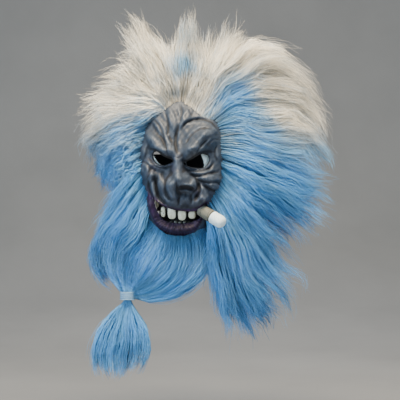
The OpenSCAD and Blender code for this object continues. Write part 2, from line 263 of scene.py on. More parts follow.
def shellPoint(angle, q, depth):
    # a point q of the way from the shell's middle to its rim, depth below its outside
    k = q * outlineAt(angle)
    x = shell["middleX"] + (shell["halfWidth"] - depth) * k * math.cos(angle)
    z = shell["middleZ"] + (shell["halfHeight"] - depth) * k * math.sin(angle)
    return Vector((x, shell["rim"] - (shell["depth"] - depth) * float(domeOf(q)), z))


# lines and shapes that several pieces share

def smoothLine(points, count, closed=False):
    # a smooth curve through the points, as count points evenly apart
    pts = np.array(points, float)
    size = len(pts)
    if closed:
        idx = [(i + k) % size for i in range(size) for k in (-1, 0, 1, 2)]
    else:
        idx = [min(max(i + k, 0), size - 1) for i in range(size - 1) for k in (-1, 0, 1, 2)]
    a, b, c, d = (pts[idx[k::4]][:, None, :] for k in range(4))
    w = np.linspace(0, 1, 16, endpoint=False)[None, :, None]
    curve = b + w * ((c - a) / 2 + w * ((a - 2.5 * b + 2 * c - d / 2) + w * (1.5 * (b - c) + (d - a) / 2)))
    curve = curve.reshape(-1, pts.shape[1])
    curve = np.vstack([curve, pts[0] if closed else pts[-1]])
    length = np.concatenate([[0], np.cumsum(np.linalg.norm(np.diff(curve, axis=0), axis=1))])
    want = np.linspace(0, length[-1], count)
    return np.stack([np.interp(want, length, curve[:, k]) for k in range(pts.shape[1])], axis=1)


def lineDistance(x, z, line):
    # distance from each point to a line, and how far along the line it is nearest
    best = np.full(x.shape, 1e9)
    along = np.zeros(x.shape)
    steps = len(line) - 1
    for i in range(steps):
        ax, az = line[i]
        dx, dz = line[i + 1] - line[i]
        f = np.clip(((x - ax) * dx + (z - az) * dz) / (dx * dx + dz * dz + 1e-12), 0, 1)
        dist = np.hypot(x - ax - f * dx, z - az - f * dz)
        near = dist < best
        best = np.where(near, dist, best)
        along = np.where(near, (i + f) / steps, along)
    return best, along


def insideOutline(x, z, line):
    inside = np.zeros(x.shape, bool)
    for (ax, az), (bx, bz) in zip(line[:-1], line[1:]):
        crosses = (az > z) != (bz > z)
        inside ^= crosses & (x < (bx - ax) * (z - az) / (bz - az + 1e-12) + ax)
    return inside


def ringOf(radius, steps, cx=0, cz=0):
    return np.array([(cx + radius * math.cos(a), cz + radius * math.sin(a))
                     for a in np.linspace(0, 2 * math.pi, steps + 1)])


def facesInside(bm, line):
    middle = np.array([face.calc_center_median()[:] for face in bm.faces])
    return insideOutline(middle[:, 0], middle[:, 2], line)


def snapToLine(bm, line, reach):
    # moves the border's points that are close to the line onto it
    rim = [vert for vert in bm.verts if vert.is_boundary]
    dist, along = lineDistance(np.array([v.co.x for v in rim]), np.array([v.co.z for v in rim]), line)
    for vert, off, f in zip(rim, dist, along):
        if off < reach:
            place = f * (len(line) - 1)
            i = min(int(place), len(line) - 2)
            vert.co.x, vert.co.z = line[i] + (line[i + 1] - line[i]) * (place - i)


def cutOpening(bm, line, reach):
    doomed = [face for face, gone in zip(bm.faces, facesInside(bm, line)) if gone]
    bmesh.ops.delete(bm, geom=doomed, context="FACES")
    snapToLine(bm, line, reach)


def trimAt(bm, height, side):
    # cuts away what lies above a height (side 1) or below it (side -1)
    bmesh.ops.bisect_plane(bm, geom=bm.verts[:] + bm.edges[:] + bm.faces[:], plane_co=(0, 0, height),
                           plane_no=(0, 0, side), clear_outer=True)


def clothGrid(columns, rows):
    bm = bmesh.new()
    bm.loops.layers.uv.new("UVMap")
    bmesh.ops.create_grid(bm, x_segments=columns, y_segments=rows, size=1, calc_uvs=True)
    return bm


def toPart(bm, rise=eyeLevel):
    bmesh.ops.scale(bm, vec=(mm, mm, mm), verts=bm.verts)
    bmesh.ops.translate(bm, vec=(0, 0, rise), verts=bm.verts)


def faceFront(bm, toward):
    # turns an open sheet's faces to look along one direction
    total = Vector()
    for face in bm.faces:
        total += face.normal * face.calc_area()
    if total.dot(Vector(toward)) < 0:
        bmesh.ops.reverse_faces(bm, faces=bm.faces)


def thicken(piece, thickness, offset=-1):
    wall = piece.modifiers.new("wall", "SOLIDIFY")
    wall.thickness = thickness * mm
    wall.offset = offset


def roundOff(piece):
    soft = piece.modifiers.new("round", "SUBSURF")
    soft.levels = 1
    soft.render_levels = 1


def wallPiece(bm, name, material, thickness, slot, offset=-1, rise=eyeLevel):
    # an open sheet in millimetres becomes a finished piece of the mask, with a wall
    toPart(bm, rise)
    piece = linkPiece(name, meshFrom(bm, name), material)
    thicken(piece, thickness, offset)
    seat(piece, "mask", slot, name)
    return piece


def lathe(profile, steps=48):
    # turns a line of (radius, height) points round the Z axis, closed at both ends
    bm = bmesh.new()
    verts = [bm.verts.new((r, 0, z)) for r, z in profile]
    edges = [bm.edges.new(pair) for pair in zip(verts[:-1], verts[1:])]
    bmesh.ops.spin(bm, geom=verts + edges, cent=(0, 0, 0), axis=(0, 0, 1), angle=2 * math.pi, steps=steps,
                   use_merge=True)
    bmesh.ops.remove_doubles(bm, verts=bm.verts, dist=0.001)
    bmesh.ops.recalc_face_normals(bm, faces=bm.faces)
    return bm


def ripple(place, scale, seed):
    x, y, z = place[0] * scale, place[1] * scale, place[2] * scale
    return (math.sin(x * 1.7 + seed + 1.9 * math.sin(y * 1.3)) + math.sin(y * 2.1 + z * 1.1 + seed * 2)
            + math.sin(z * 1.9 - x * 1.2 + seed * 3)) / 3


# the latex face

# lumps raised from the shell: x, z, height, spread in x, spread in z
bigLumps = [
    (-3, -32, 24, 14, 13), (-3, -6, 12, 9, 18), (-16, -42, 10, 9, 9), (15, -40, 10, 9, 8),
    (-8, -54, 9, 8, 8), (-22, 13, 14, 16, 9), (20, 15, 15, 18, 9), (44, 34, 9, 18, 13),
    (-42, 30, 8, 14, 12), (-27, 2, -12, 13, 8), (24, -3, -12, 15, 9), (-48, -18, 7, 10, 15),
    (44, -34, 8, 15, 15), (2, -63, 9, 28, 12), (-4, -106, 15, 30, 11),
]


def lumpsOf(x, z, lumps):
    total = np.zeros_like(x)
    for lx, lz, height, sx, sz in lumps:
        total += height * np.exp(-((x - lx) / sx) ** 2 - ((z - lz) / sz) ** 2)
    return total * np.clip((0.86 - reachOf(x, z)) / 0.12, 0, 1)


def skinHeight(x, z):
    # how far the smooth face stands in front of the rim's plane
    return shell["depth"] * domeOf(reachOf(x, z)) - shell["rim"] + lumpsOf(x, z, bigLumps)


faceDetail = {
    "columns": 150, "rows": 216, "topEdge": 99, "thickness": 3.0, "foldGain": 1.3, "grooveGain": 0.80,
    "swellGain": 0.30, "snap": 2.2,
    # smaller lumps over the big ones
    "smallLumps": [
        (-19, 6, 5, 7, 6), (10, 6, 6, 7, 7), (52, 24, 4, 10, 8), (2, 62, 2, 12, 14), (-38, -24, 3, 9, 5),
        (-56, 12, 3, 5, 10), (60, 8, 4, 6, 12), (44, -56, 3, 8, 6), (-24, -60, 3, 8, 7), (-27, 3, -4, 9, 6),
        (26, -3, -4, 11, 7),
    ],
    # full, steep-sided folds: x, z, height, half length, half width, lean in degrees
    "folds": [
        (-35, 22, 7.5, 25, 8.5, -50), (-14.5, 17, 7.5, 20, 6.0, -64), (-30, 50, 3.5, 19, 6.5, -58),
        (-12, 62, 3.5, 20, 6.5, -76), (9, 66, 3.0, 17, 7, 70), (33, 35, 9.0, 35, 18.5, 46),
        (26, 26, 3.5, 22, 6.0, 50), (46, 42, 3.0, 14, 6.5, 25), (-3.5, -10, 6.0, 18, 8.0, 88),
        (5, -34, 8.0, 17, 13.5, 12), (-13.5, -46, 9.5, 18, 7.8, 106), (12, 3, 4.0, 7, 6, 40),
        (22, -37, 6.0, 10, 5.2, 84), (-53, -15, 6.0, 14, 8, 82), (-37, -9, 4.0, 14, 4.2, -26),
        (-46, -27, 4.0, 10, 5, 60), (-29, -38, 6.0, 16, 6.0, 108), (-41, -45, 4.5, 15, 5.0, 98),
        (31, -19, 3.5, 16, 4.0, 2), (46, -28, 5.0, 18, 6.0, -8), (53, -40, 4.5, 9, 5.0, -24),
        (36, -53, 6.0, 14, 7.5, -62), (-9, -68, 3.5, 13, 5.5, -14), (8, -60, 5.0, 10, 9.0, 90),
        (28, -65, 5.0, 14, 7.0, 22), (-57, 14, 3.5, 13, 5.0, 74),
    ],
    # creases: width, depth and the points they run through
    "creases": [
        (1.8, 3.2, [(-43, 66), (-33, 54), (-27, 42), (-22, 24), (-18, 7)]),
        (1.5, 2.6, [(-24, 74), (-19, 62), (-18, 46), (-21, 36)]),
        (1.4, 2.4, [(-30, 38), (-25, 26), (-22, 16)]),
        (1.3, 2.0, [(-15, 34), (-12, 22), (-12, 10)]),
        (2.2, 4.4, [(-2, 52), (-6, 36), (-6, 18), (-4, 8)]),
        (2.0, 3.6, [(2, 44), (10, 57), (30, 63), (48, 58), (60, 44)]),
        (1.5, 2.8, [(9, 22), (18, 37), (33, 47), (50, 47)]),
        (1.4, 2.4, [(24, 8), (34, 22), (44, 31)]),
        (1.2, 1.8, [(15, 16), (24, 30), (34, 37)]),
        (1.3, 2.0, [(40, 20), (50, 30), (60, 32)]),
        (1.6, 2.4, [(0, 88), (3, 74), (0, 58)]),
        (1.3, 1.8, [(14, 80), (18, 68)]),
        (2.2, 4.2, [(-47, 17), (-38, 14.5), (-28, 9), (-18, 0), (-9, -3)]),
        (2.2, 4.2, [(3, -2), (11, -3.5), (20, 1), (30, 9), (40, 12), (52, 12)]),
        (1.7, 3.0, [(-47, 0), (-38, -9), (-26, -13), (-13, -9)]),
        (1.6, 3.0, [(5, -11), (17, -17), (32, -17), (45, -13), (52, -3)]),
        (1.8, 3.2, [(14, -22), (30, -25), (46, -21), (60, -18)]),
        (1.5, 2.6, [(26, -30), (40, -35), (58, -34)]),
        (2.0, 4.0, [(-13, -20), (-21, -32), (-22, -46), (-16, -60), (-9, -64)]),
        (1.8, 3.6, [(12, -18), (20, -24), (26, -32), (27, -44), (22, -50)]),
        (2.2, 4.6, [(-34, -22), (-36, -34), (-36, -48), (-28, -62), (-18, -70)]),
        (1.8, 3.2, [(-49, -30), (-47, -46), (-42, -58)]),
        (2.2, 4.6, [(29, -36), (30, -48), (26, -58), (22, -64)]),
        (1.7, 3.2, [(36, -38), (44, -44), (54, -49)]),
        (1.7, 3.0, [(-60, -2), (-50, -6), (-46, -18), (-52, -32)]),
        (1.6, 3.0, [(-1, -58), (-2, -70)]),
        (1.4, 2.6, [(17, -54), (17, -68)]),
        (1.3, 2.0, [(-10, 6), (-3, 2), (4, 6)]),
        (1.2, 1.8, [(-22, -60), (-24, -68)]),
        (1.4, 2.6, [(-7, -28), (-4, -40), (-5, -52)]),
        (2.1, 10.0, [(-1, -44), (10, -44), (21, -46)]),
        (1.2, 1.8, [(8, -50), (9, -58)]),
        (1.4, 2.2, [(56, 22), (54, 8), (58, -4)]),
    ],
    # soft rolls: width, height and the points they run through
    "rolls": [
        (7.0, 8.0, [(-48, -56), (-46, -76), (-36, -96), (-20, -108), (-4, -111), (12, -110),
                    (26, -102), (35, -88)]),
        (3.6, 4.5, [(-44, -56), (-36, -64), (-23, -72), (-9, -77), (8, -79), (26, -78), (39, -65)]),
        (2.6, 2.6, [(-43, 3), (-38, -6), (-27, -11), (-16, -8), (-9, -3)]),
        (2.6, 2.6, [(5, -9), (13, -13), (24, -15.5), (37, -14), (46, -6), (49, 4)]),
    ],
    "lipOuter": [(-51, -40), (-51, -58), (-48, -76), (-40, -97), (-28, -113), (-8, -119), (12, -118),
                 (25, -109), (34, -95), (38, -82), (41, -70), (43, -63), (26, -73), (8, -75.5), (-12, -73),
                 (-27, -66.5), (-38, -58), (-45, -46)],
    "mouthEdge": [(-43, -54), (-37, -63), (-24, -71.5), (-10, -77), (8, -79.5), (24, -79), (34, -74),
                  (41, -66),
                  (38, -80), (31, -90), (20, -95), (3, -98), (-14, -96.5), (-27, -91), (-36, -77)],
    "leftEyeEdge": [(-42, 8), (-36, 12.5), (-25, 5), (-11, -1.5), (-16, -6), (-26, -8.5), (-37, -4)],
    "rightEyeEdge": [(6, -6), (18, 0.5), (28, 6), (36, 9), (43, 8), (45, 2), (43, -5), (36, -12), (23, -12.5),
                     (13, -10)],
    "nostrilEdge": [(1.5, -44.5), (10, -44.5), (18, -46), (20, -44), (11, -41.5), (2, -42)],
}

# fine wrinkles across the lips, fanning from the middle of the mouth; angles in degrees
lipLines = {"count": 23, "middle": (-4, -80), "first": 198, "apart": 6.4, "from": 20, "to": 50, "width": 1.05,
            "depth": 2.4, "squash": 0.86}

outlines = {key: smoothLine(faceDetail[key], 90, True)
            for key in ("lipOuter", "mouthEdge", "leftEyeEdge", "rightEyeEdge", "nostrilEdge")}


def lipMask(x, z):
    line = outlines["lipOuter"]
    dist = lineDistance(x, z, line)[0]
    signed = np.where(insideOutline(x, z, line), dist, -dist)
    return np.clip(signed / 2.0 + 0.5, 0, 1)


def awayFromEnds(along, steepness, least):
    # 1 along a line's middle, fading at its two ends
    return np.clip(np.minimum(along, 1 - along) * steepness + least, 0, 1)


def foldsOf(x, z):
    total = np.zeros_like(x)
    for fx, fz, height, length, width, lean in faceDetail["folds"]:
        c = math.cos(math.radians(lean))
        s = math.sin(math.radians(lean))
        along = ((x - fx) * c + (z - fz) * s) / length
        across = ((z - fz) * c - (x - fx) * s) / width
        total += faceDetail["foldGain"] * height * np.exp(-(along ** 2 + across ** 2) ** 2)
    return total


def creasesOf(x, z):
    # how much the creases raise the face, and how deep each point lies in one
    total = np.zeros_like(x)
    deepest = np.zeros_like(x)
    for width, depth, points in faceDetail["creases"]:
        dist, along = lineDistance(x, z, smoothLine(points, 14))
        ends = awayFromEnds(along, 5, 0.25)
        groove = ends * np.exp(-(dist / width) ** 2)
        swell = ends * np.exp(-((dist - 2.3 * width) / (1.3 * width)) ** 2)
        total += depth * (faceDetail["swellGain"] * swell - faceDetail["grooveGain"] * groove)
        deepest = np.maximum(deepest, groove * min(1, depth / 4))
    return total, deepest


def rollsOf(x, z):
    total = np.zeros_like(x)
    for width, height, points in faceDetail["rolls"]:
        dist, along = lineDistance(x, z, smoothLine(points, 24))
        total += height * np.exp(-(dist / width) ** 2) * awayFromEnds(along, 8, 0.2)
    return total


def lipWrinkles(x, z):
    # all the wrinkles together, and the deepest at each point
    total = np.zeros_like(x)
    deepest = np.zeros_like(x)
    rng = random.Random(5)
    cx, cz = lipLines["middle"]
    for i in range(lipLines["count"]):
        angle = math.radians(lipLines["first"] + i * lipLines["apart"] + rng.uniform(-1.5, 1.5))
        start = lipLines["from"] + rng.uniform(0, 4)
        line = np.array([(cx + r * math.cos(angle) + rng.uniform(-0.7, 0.7),
                          cz + lipLines["squash"] * r * math.sin(angle))
                         for r in np.linspace(start, lipLines["to"], 6)])
        groove = np.exp(-(lineDistance(x, z, line)[0] / lipLines["width"]) ** 2)
        total += groove
        deepest = np.maximum(deepest, groove)
    lip = lipMask(x, z)
    return total * lip, deepest * lip


def detailHeight(x, z):
    # everything finer than the big lumps, and how deep each point lies in a crease
    creases, crease = creasesOf(x, z)
    wrinkles, wrinkle = lipWrinkles(x, z)
    total = lumpsOf(x, z, faceDetail["smallLumps"]) + foldsOf(x, z) + creases + rollsOf(x, z)
    total -= lipLines["depth"] * wrinkles
    fade = np.clip((0.93 - reachOf(x, z)) / 0.1, 0, 1)
    return total * fade, np.maximum(crease, 0.6 * wrinkle)


def waviness(x, z):
    # a hand-modelled unevenness
    return (0.5 * np.sin(x * 0.23 + 1.3 * np.sin(z * 0.11)) * np.sin(z * 0.19 + 0.7)
            + 0.3 * np.sin(x * 0.51 + z * 0.37) + 0.22 * np.sin(x * 0.83 - z * 0.61 + 1.1))


def latexMaterial():
    material, tree, place = startMaterial("painted latex")
    blotch = noiseOf(tree, place, 55.0, 5.0, 0.6)
    streak = noiseOf(tree, stretched(tree, place, (1.0, 1.0, 0.35)), 240.0, 4.0)
    pore = noiseOf(tree, place, 900.0, 2.0)
    base = ramp(tree, blotch, [(0.25, (0.023, 0.030, 0.044)), (0.5, (0.034, 0.045, 0.066)),
                               (0.72, (0.048, 0.060, 0.082))])
    crease = readAttribute(tree, "crease")
    hollow = readAttribute(tree, "hollow")
    lips = readAttribute(tree, "lips")
    lipTone = ramp(tree, streak, [(0.3, (0.006, 0.001, 0.012)), (0.6, (0.020, 0.003, 0.036)),
                                  (0.85, (0.055, 0.016, 0.090))])
    violet = maths(tree, "MULTIPLY", level(tree, blotch, 0.45, 0.65, 0.0, 0.55), readAttribute(tree, "flush"))
    base = mixColour(tree, violet, base, (0.036, 0.018, 0.052, 1))
    base = mixColour(tree, lips, base, lipTone)
    # dark paint washed into the creases and hollows, which also paints their shade, then a light dry-brushing
    # on what stands proud, which also paints its highlight
    uneven = maths(tree, "ADD", crease, level(tree, streak, 0.3, 0.7, -0.14, 0.14))
    washAndShade = maths(tree, "MAXIMUM", level(tree, uneven, 0.22, 0.80, 0.0, 0.92),
                 level(tree, hollow, 0.25, 1.6, 0.0, 0.88))
    base = mixColour(tree, washAndShade, base, (0.010, 0.011, 0.015, 1))
    drybrushAndHighlight = maths(tree, "MULTIPLY", level(tree, hollow, -0.35, -1.9, 0.0, 0.75),
                  level(tree, streak, 0.38, 0.62, 0.25, 1.0))
    drybrushAndHighlight = maths(tree, "MULTIPLY", drybrushAndHighlight, level(tree, lips, 0.0, 1.0, 1.0, 0.12))
    drybrushAndHighlight = maths(tree, "MULTIPLY", drybrushAndHighlight, level(tree, washAndShade, 0.0, 0.6, 1.0, 0.0))
    base = mixColour(tree, drybrushAndHighlight, base, (0.105, 0.13, 0.17, 1))
    gloss = maths(tree, "ADD", level(tree, blotch, 0.3, 0.7, 0.42, 0.56), maths(tree, "MULTIPLY", lips, 0.04))
    gloss = maths(tree, "ADD", gloss, maths(tree, "MULTIPLY", washAndShade, 0.3))
    height = maths(tree, "ADD", maths(tree, "MULTIPLY", pore, 0.5), streak)
    endMaterial(tree, base, gloss, height, 0.35, 0.35, Specular_IOR_Level=0.40)
    return material


def hollowOf(bm, height):
    # how far each point lies behind or before its neighbourhood
    bm.verts.ensure_lookup_table()
    blur = height.copy()
    pairs = np.array([(edge.verts[0].index, edge.verts[1].index) for edge in bm.edges])
    count = np.bincount(pairs.ravel(), minlength=len(blur))
    for turn in range(10):
        total = sum(np.bincount(pairs[:, k], blur[pairs[:, 1 - k]], len(blur)) for k in (0, 1))
        blur = 0.5 * blur + 0.5 * total / count
    return blur - height


def flushOf(x, z):
    # two patches of the cheeks and chin that are tinted violet
    cheek = np.exp(-((x + 30) / 26) ** 2 - ((z + 8) / 18) ** 2)
    chin = np.exp(-((x - 30) / 26) ** 2 - ((z + 58) / 18) ** 2)
    return np.clip(cheek + chin, 0, 1)


def makeFace():
    bm = bmesh.new()
    bmesh.ops.create_grid(bm, x_segments=faceDetail["columns"], y_segments=faceDetail["rows"], size=1)
    flat = np.array([vert.co[:] for vert in bm.verts])
    angle, q = discOf(flat[:, 0], flat[:, 1])
    k = q * outlineAt(angle)
    x = shell["middleX"] + shell["halfWidth"] * k * np.cos(angle)
    z = shell["middleZ"] + shell["halfHeight"] * k * np.sin(angle)
    for vert, px, pz in zip(bm.verts, x, z):
        vert.co = (px, 0, pz)
    trimAt(bm, faceDetail["topEdge"], 1)
    for key in ("mouthEdge", "leftEyeEdge", "rightEyeEdge"):
        cutOpening(bm, outlines[key], faceDetail["snap"])
    x = np.array([vert.co.x for vert in bm.verts])
    z = np.array([vert.co.z for vert in bm.verts])
    fine, crease = detailHeight(x, z)
    # painted shade: dark round the nostril and along the edges of the eye openings
    for key, width in (("nostrilEdge", 2.0), ("leftEyeEdge", 1.1), ("rightEyeEdge", 1.1)):
        crease = np.maximum(crease, np.exp(-(lineDistance(x, z, outlines[key])[0] / width) ** 2))
    wave = waviness(x, z) * np.clip((0.95 - reachOf(x, z)) / 0.1, 0, 1)
    height = skinHeight(x, z) + fine + wave
    for vert, h in zip(bm.verts, height):
        vert.co.y = -h
    bmesh.ops.recalc_face_normals(bm, faces=bm.faces)
    faceFront(bm, (0, -1, 0))
    bm.verts.index_update()
    hollow = hollowOf(bm, height)
    toPart(bm)
    mesh = meshFrom(bm, "face_skin")
    paint = {"crease": crease, "hollow": hollow, "lips": lipMask(x, z), "flush": flushOf(x, z)}
    for name, values in paint.items():
        paintPoints(mesh, name, values)
    piece = linkPiece("face_skin", mesh, latexMaterial())
    thicken(piece, faceDetail["thickness"])
    seat(piece, "mask", "latex", "face_skin")


makeFace()
print("face made")


# eyes

eyes = {
    "dome": 40.0, "edge": 19.0, "front": 96.0, "wall": 1.6, "paintedShadeTo": 30.5,
    "left_eye_liner": {"middle": (-27, 2), "sight": [(-41.5, 9), (-39, 15), (-24, 13), (-10.5, 3),
                                                     (-10.5, -7),
                                                     (-21, -11), (-31, -7), (-37.5, 0.5)]},
    "right_eye_liner": {"middle": (27, -3), "sight": [(9.5, -6), (12, 5), (23, 11), (31, 10),
                                                      (34.5, 4), (37, -4),
                                                      (36.5, -12), (26, -16.5), (13, -13)]},
}


def eyeMaterial():
    material, tree, place = startMaterial("painted eye white")
    blotch = noiseOf(tree, place, 120.0, 4.0)
    vein = noiseOf(tree, stretched(tree, place, (3, 1, 1)), 300.0, 6.0, 0.7)
    colour = ramp(tree, blotch, [(0.3, (0.80, 0.96, 0.96)), (0.7, (0.90, 0.98, 0.95))])
    colour = mixColour(tree, level(tree, vein, 0.62, 0.72, 0.0, 0.35), colour, (0.55, 0.42, 0.34, 1))
    # only the outer corners are painted white; nearer the middle the liner is painted black, a painted shade
    # standing in for the dark hole behind the eye
    side = maths(tree, "ABSOLUTE", put(tree, "SeparateXYZ", {"Vector": place}).outputs[0])
    inner = level(tree, side, eyes["paintedShadeTo"] * mm, (eyes["paintedShadeTo"] + 1) * mm, 1.0, 0.0)
    colour = mixColour(tree, inner, colour, (0.008, 0.008, 0.009, 1))
    endMaterial(tree, colour, level(tree, blotch, 0.3, 0.7, 0.14, 0.24), blotch, 0.1, 0.2)
    return material


def makeEyes():
    material = eyeMaterial()
    for name in ("left_eye_liner", "right_eye_liner"):
        cx, cz = eyes[name]["middle"]
        bm = bmesh.new()
        bmesh.ops.create_grid(bm, x_segments=64, y_segments=64, size=eyes["edge"] + 1)
        for vert in bm.verts:
            vert.co = (vert.co.x + cx, 0, vert.co.y + cz)
        ring = ringOf(eyes["edge"], 72, cx, cz)
        outside = [face for face, kept in zip(bm.faces, facesInside(bm, ring)) if not kept]
        bmesh.ops.delete(bm, geom=outside, context="FACES")
        snapToLine(bm, ring, 1.0)
        cutOpening(bm, smoothLine(eyes[name]["sight"], 60, True), 0.9)
        for vert in bm.verts:
            outSquared = min((vert.co.x - cx) ** 2 + (vert.co.z - cz) ** 2, 400)
            vert.co.y = -eyes["front"] + eyes["dome"] - math.sqrt(eyes["dome"] ** 2 - outSquared)
        bmesh.ops.recalc_face_normals(bm, faces=bm.faces)
        faceFront(bm, (0, -1, 0))
        wallPiece(bm, name, material, eyes["wall"], "eye_white")


makeEyes()
print("eyes made")


# teeth and what is behind them

gum = {"x": 2.0, "y": -30.0, "radius": 60.0, "upperDeep": 5.4, "lowerDeep": 3.8, "lowerBack": 5.2,
       "lowerFoot": -105}

teeth = {
    # middle, top, tip, width, how much narrower the tip is, lean in degrees
    "left_fang": (-35, -59, -74, 5.5, 0.75, 4), "cracked_tooth": (-26, -72, -88.5, 8.6, 0.20, 3),
    "left_front_tooth": (-12.4, -71, -91.5, 13.4, 0.14, -2),
    "right_front_tooth": (3.2, -72, -93.5, 13.2, 0.16, 1),
    "right_side_tooth": (18.6, -77, -91, 12.2, 0.20, 3), "corner_tooth": (40, -60, -70.5, 5.2, 0.5, -4),
}
lowerTeeth = [  # middle, tip, width
    (-13.5, -94.6, 6.2), (-6.6, -93.6, 6.4), (0.4, -94.6, 6.4), (7.4, -93.8, 6.2), (13.6, -95.4, 5.6),
]


def enamelMaterial(name, light):
    material, tree, place = startMaterial(name)
    stainAndShade = readAttribute(tree, "stainAndShade")
    blotch = noiseOf(tree, place, 190.0, 5.0, 0.6)
    streak = noiseOf(tree, stretched(tree, place, (1, 1, 0.25)), 700.0, 3.0)
    clean = ramp(tree, blotch, [(0.3, tuple(c * light for c in (0.50, 0.49, 0.34))),
                                (0.6, tuple(c * light for c in (0.74, 0.73, 0.58)))])
    # real stain and painted shade, both carried in from the teeth's shape, with streaks
    dirtAndShade = maths(tree, "ADD", stainAndShade, level(tree, streak, 0.35, 0.75, -0.12, 0.22))
    colour = mixColour(tree, level(tree, dirtAndShade, 0.25, 1.0, 0.0, 0.95), clean, (0.030, 0.026, 0.018, 1))
    endMaterial(tree, colour, level(tree, dirtAndShade, 0.0, 1.0, 0.20, 0.55), streak, 0.25, 0.25)
    return material


def toothShape(top, tip, width, narrow, deep, crack=False):
    bm = bmesh.new()
    bmesh.ops.create_cube(bm, size=2)
    bmesh.ops.subdivide_edges(bm, edges=bm.edges, cuts=7, use_grid_fill=True)
    stainsAndShade = []
    half = (top - tip) / 2
    for vert in bm.verts:
        a, b, c = vert.co
        # round the cube towards a pebble
        round3 = (abs(a) ** 3.4 + abs(b) ** 3.4 + abs(c) ** 3.4) ** (1 / 3.4)
        a, b, c = a / round3, b / round3, c / round3
        low = max(0.0, -c)
        x = a * width / 2 * (1 - 0.16 * max(0.0, c)) * (1 - narrow * low ** 3)
        y = b * deep / 2 * (1 - 0.45 * low * low)
        z = c * half
        if b < 0:
            y -= 0.7 * (1 - a * a) * (1 - c * c)
            y += 0.30 * math.sin(a * 9.0 + width) * (1 - abs(c))
        # darker at the sides, towards the gum and at the tip: partly stain, partly painted shade between the
        # teeth and under the lip
        stainAndShade = max(abs(a) ** 5 * 0.8, max(0.0, c) ** 2 * 0.9, 0.25 * low ** 6)
        if crack:
            line = abs(c + 0.12 + 0.22 * a + 0.07 * math.sin(a * 7))
            groove = math.exp(-(line / 0.075) ** 2)
            y += (1.3 * groove) if b < 0 else 0
            z -= 0.5 * groove * (1 if c < -0.12 else -1)
            stainAndShade = max(stainAndShade, groove)
        stainsAndShade.append(stainAndShade)
        vert.co = (x, y, z + (top + tip) / 2)
    return bm, stainsAndShade


def ontoGum(bm, x, radius, deep, lean):
    turn = math.asin((x - gum["x"]) / (radius + deep / 2))
    middle = Vector((0, 0, sum(vert.co.z for vert in bm.verts) / len(bm.verts)))
    tilt = Matrix.Rotation(math.radians(lean), 4, "Y")
    spin = Matrix.Translation(middle) @ tilt @ Matrix.Translation(-middle)
    seatAt = Matrix.Translation((gum["x"], gum["y"], 0)) @ Matrix.Rotation(turn, 4, "Z")
    out = Matrix.Translation((0, -radius - 0.3 - deep / 2, 0))
    bmesh.ops.transform(bm, matrix=seatAt @ out @ spin, verts=bm.verts)


def makeTeeth():
    enamel = enamelMaterial("stained enamel", 1.0)
    deep = gum["upperDeep"]
    for name, (x, top, tip, width, narrow, lean) in teeth.items():
        bm, stainsAndShade = toothShape(top, tip, width, narrow, deep, name == "cracked_tooth")
        ontoGum(bm, x, gum["radius"], deep, lean)
        toPart(bm)
        mesh = meshFrom(bm, name)
        paintPoints(mesh, "stainAndShade", stainsAndShade)
        piece = linkPiece(name, mesh, enamel)
        roundOff(piece)
        seat(piece, "mask", "tooth", name)


def makeLowerTeeth():
    # one piece, because the lower teeth share a node
    joined = bmesh.new()
    allStainsAndShade = []
    for x, tip, width in lowerTeeth:
        bm, stainsAndShade = toothShape(tip, gum["lowerFoot"], width, 0.0, gum["lowerDeep"])
        ontoGum(bm, x, gum["radius"] - gum["lowerBack"], gum["lowerDeep"], 0)
        part = meshFrom(bm, "lower part")
        joined.from_mesh(part)
        allStainsAndShade += [0.5 * stainAndShade for stainAndShade in stainsAndShade]
        bpy.data.meshes.remove(part)
    toPart(joined)
    mesh = meshFrom(joined, "lower_teeth")
    paintPoints(mesh, "stainAndShade", allStainsAndShade)
    # painted shade: the lower teeth take the enamel at a tenth of its brightness, as shade under the upper
    # teeth
    piece = linkPiece("lower_teeth", mesh, enamelMaterial("shaded enamel", 0.10))
    seat(piece, "mask", "tooth", "lower_teeth")


makeTeeth()
makeLowerTeeth()

gauze = {"radius": 48.7, "angle": 46, "low": -110, "high": -56, "wall": 0.5}


def wovenMaterial(name, dark, light, threads, rough=0.85, gapLine=None):
    # plain weave drawn on the piece's own UV map; threads is how many cross it each way
    material, tree, place = startMaterial(name)
    flat = put(tree, "UVMap").outputs[0]
    scaled = put(tree, "Mapping", {"Vector": flat, "Scale": (threads[0], threads[1], 1)}).outputs[0]
    waves = [put(tree, "TexWave", {"Vector": scaled, "Scale": 0.5, "Distortion": 0.3}, bands_direction=way)
             for way in ("X", "Y")]
    checks = put(tree, "TexChecker", {"Vector": scaled, "Scale": 1.0}).outputs["Fac"]
    weave = put(tree, "Mix", {0: checks, 2: waves[0].outputs["Fac"], 3: waves[1].outputs["Fac"]}).outputs[0]
    worn = noiseOf(tree, place, 60.0, 4.0)
    tint = maths(tree, "MULTIPLY", weave, level(tree, worn, 0.3, 0.7, 0.6, 1.0))
    colour = ramp(tree, tint, [(0.05, dark), (0.8, light)])
    if gapLine:
        colour = gapLine(tree, flat, colour)
    endMaterial(tree, colour, level(tree, worn, 0.3, 0.7, rough - 0.1, rough + 0.08), weave, 0.6, 0.4,
                Sheen_Weight=0.2)
    return material


def makeGauze():
    bm = clothGrid(48, 30)
    for vert in bm.verts:
        a = math.radians(-90 + vert.co.x * gauze["angle"])
        z = gauze["low"] + (vert.co.y + 1) / 2 * (gauze["high"] - gauze["low"])
        r = gauze["radius"]
        vert.co = (gum["x"] + r * math.cos(a), gum["y"] + r * math.sin(a), z)
    faceFront(bm, (0, -1, 0))
    netting = wovenMaterial("black gauze", (0.002, 0.002, 0.003), (0.016, 0.016, 0.018), (120, 84), 0.95)
    piece = wallPiece(bm, "mouth_gauze", netting, gauze["wall"], "gauze")


makeGauze()
print("mouth made")


# cigar

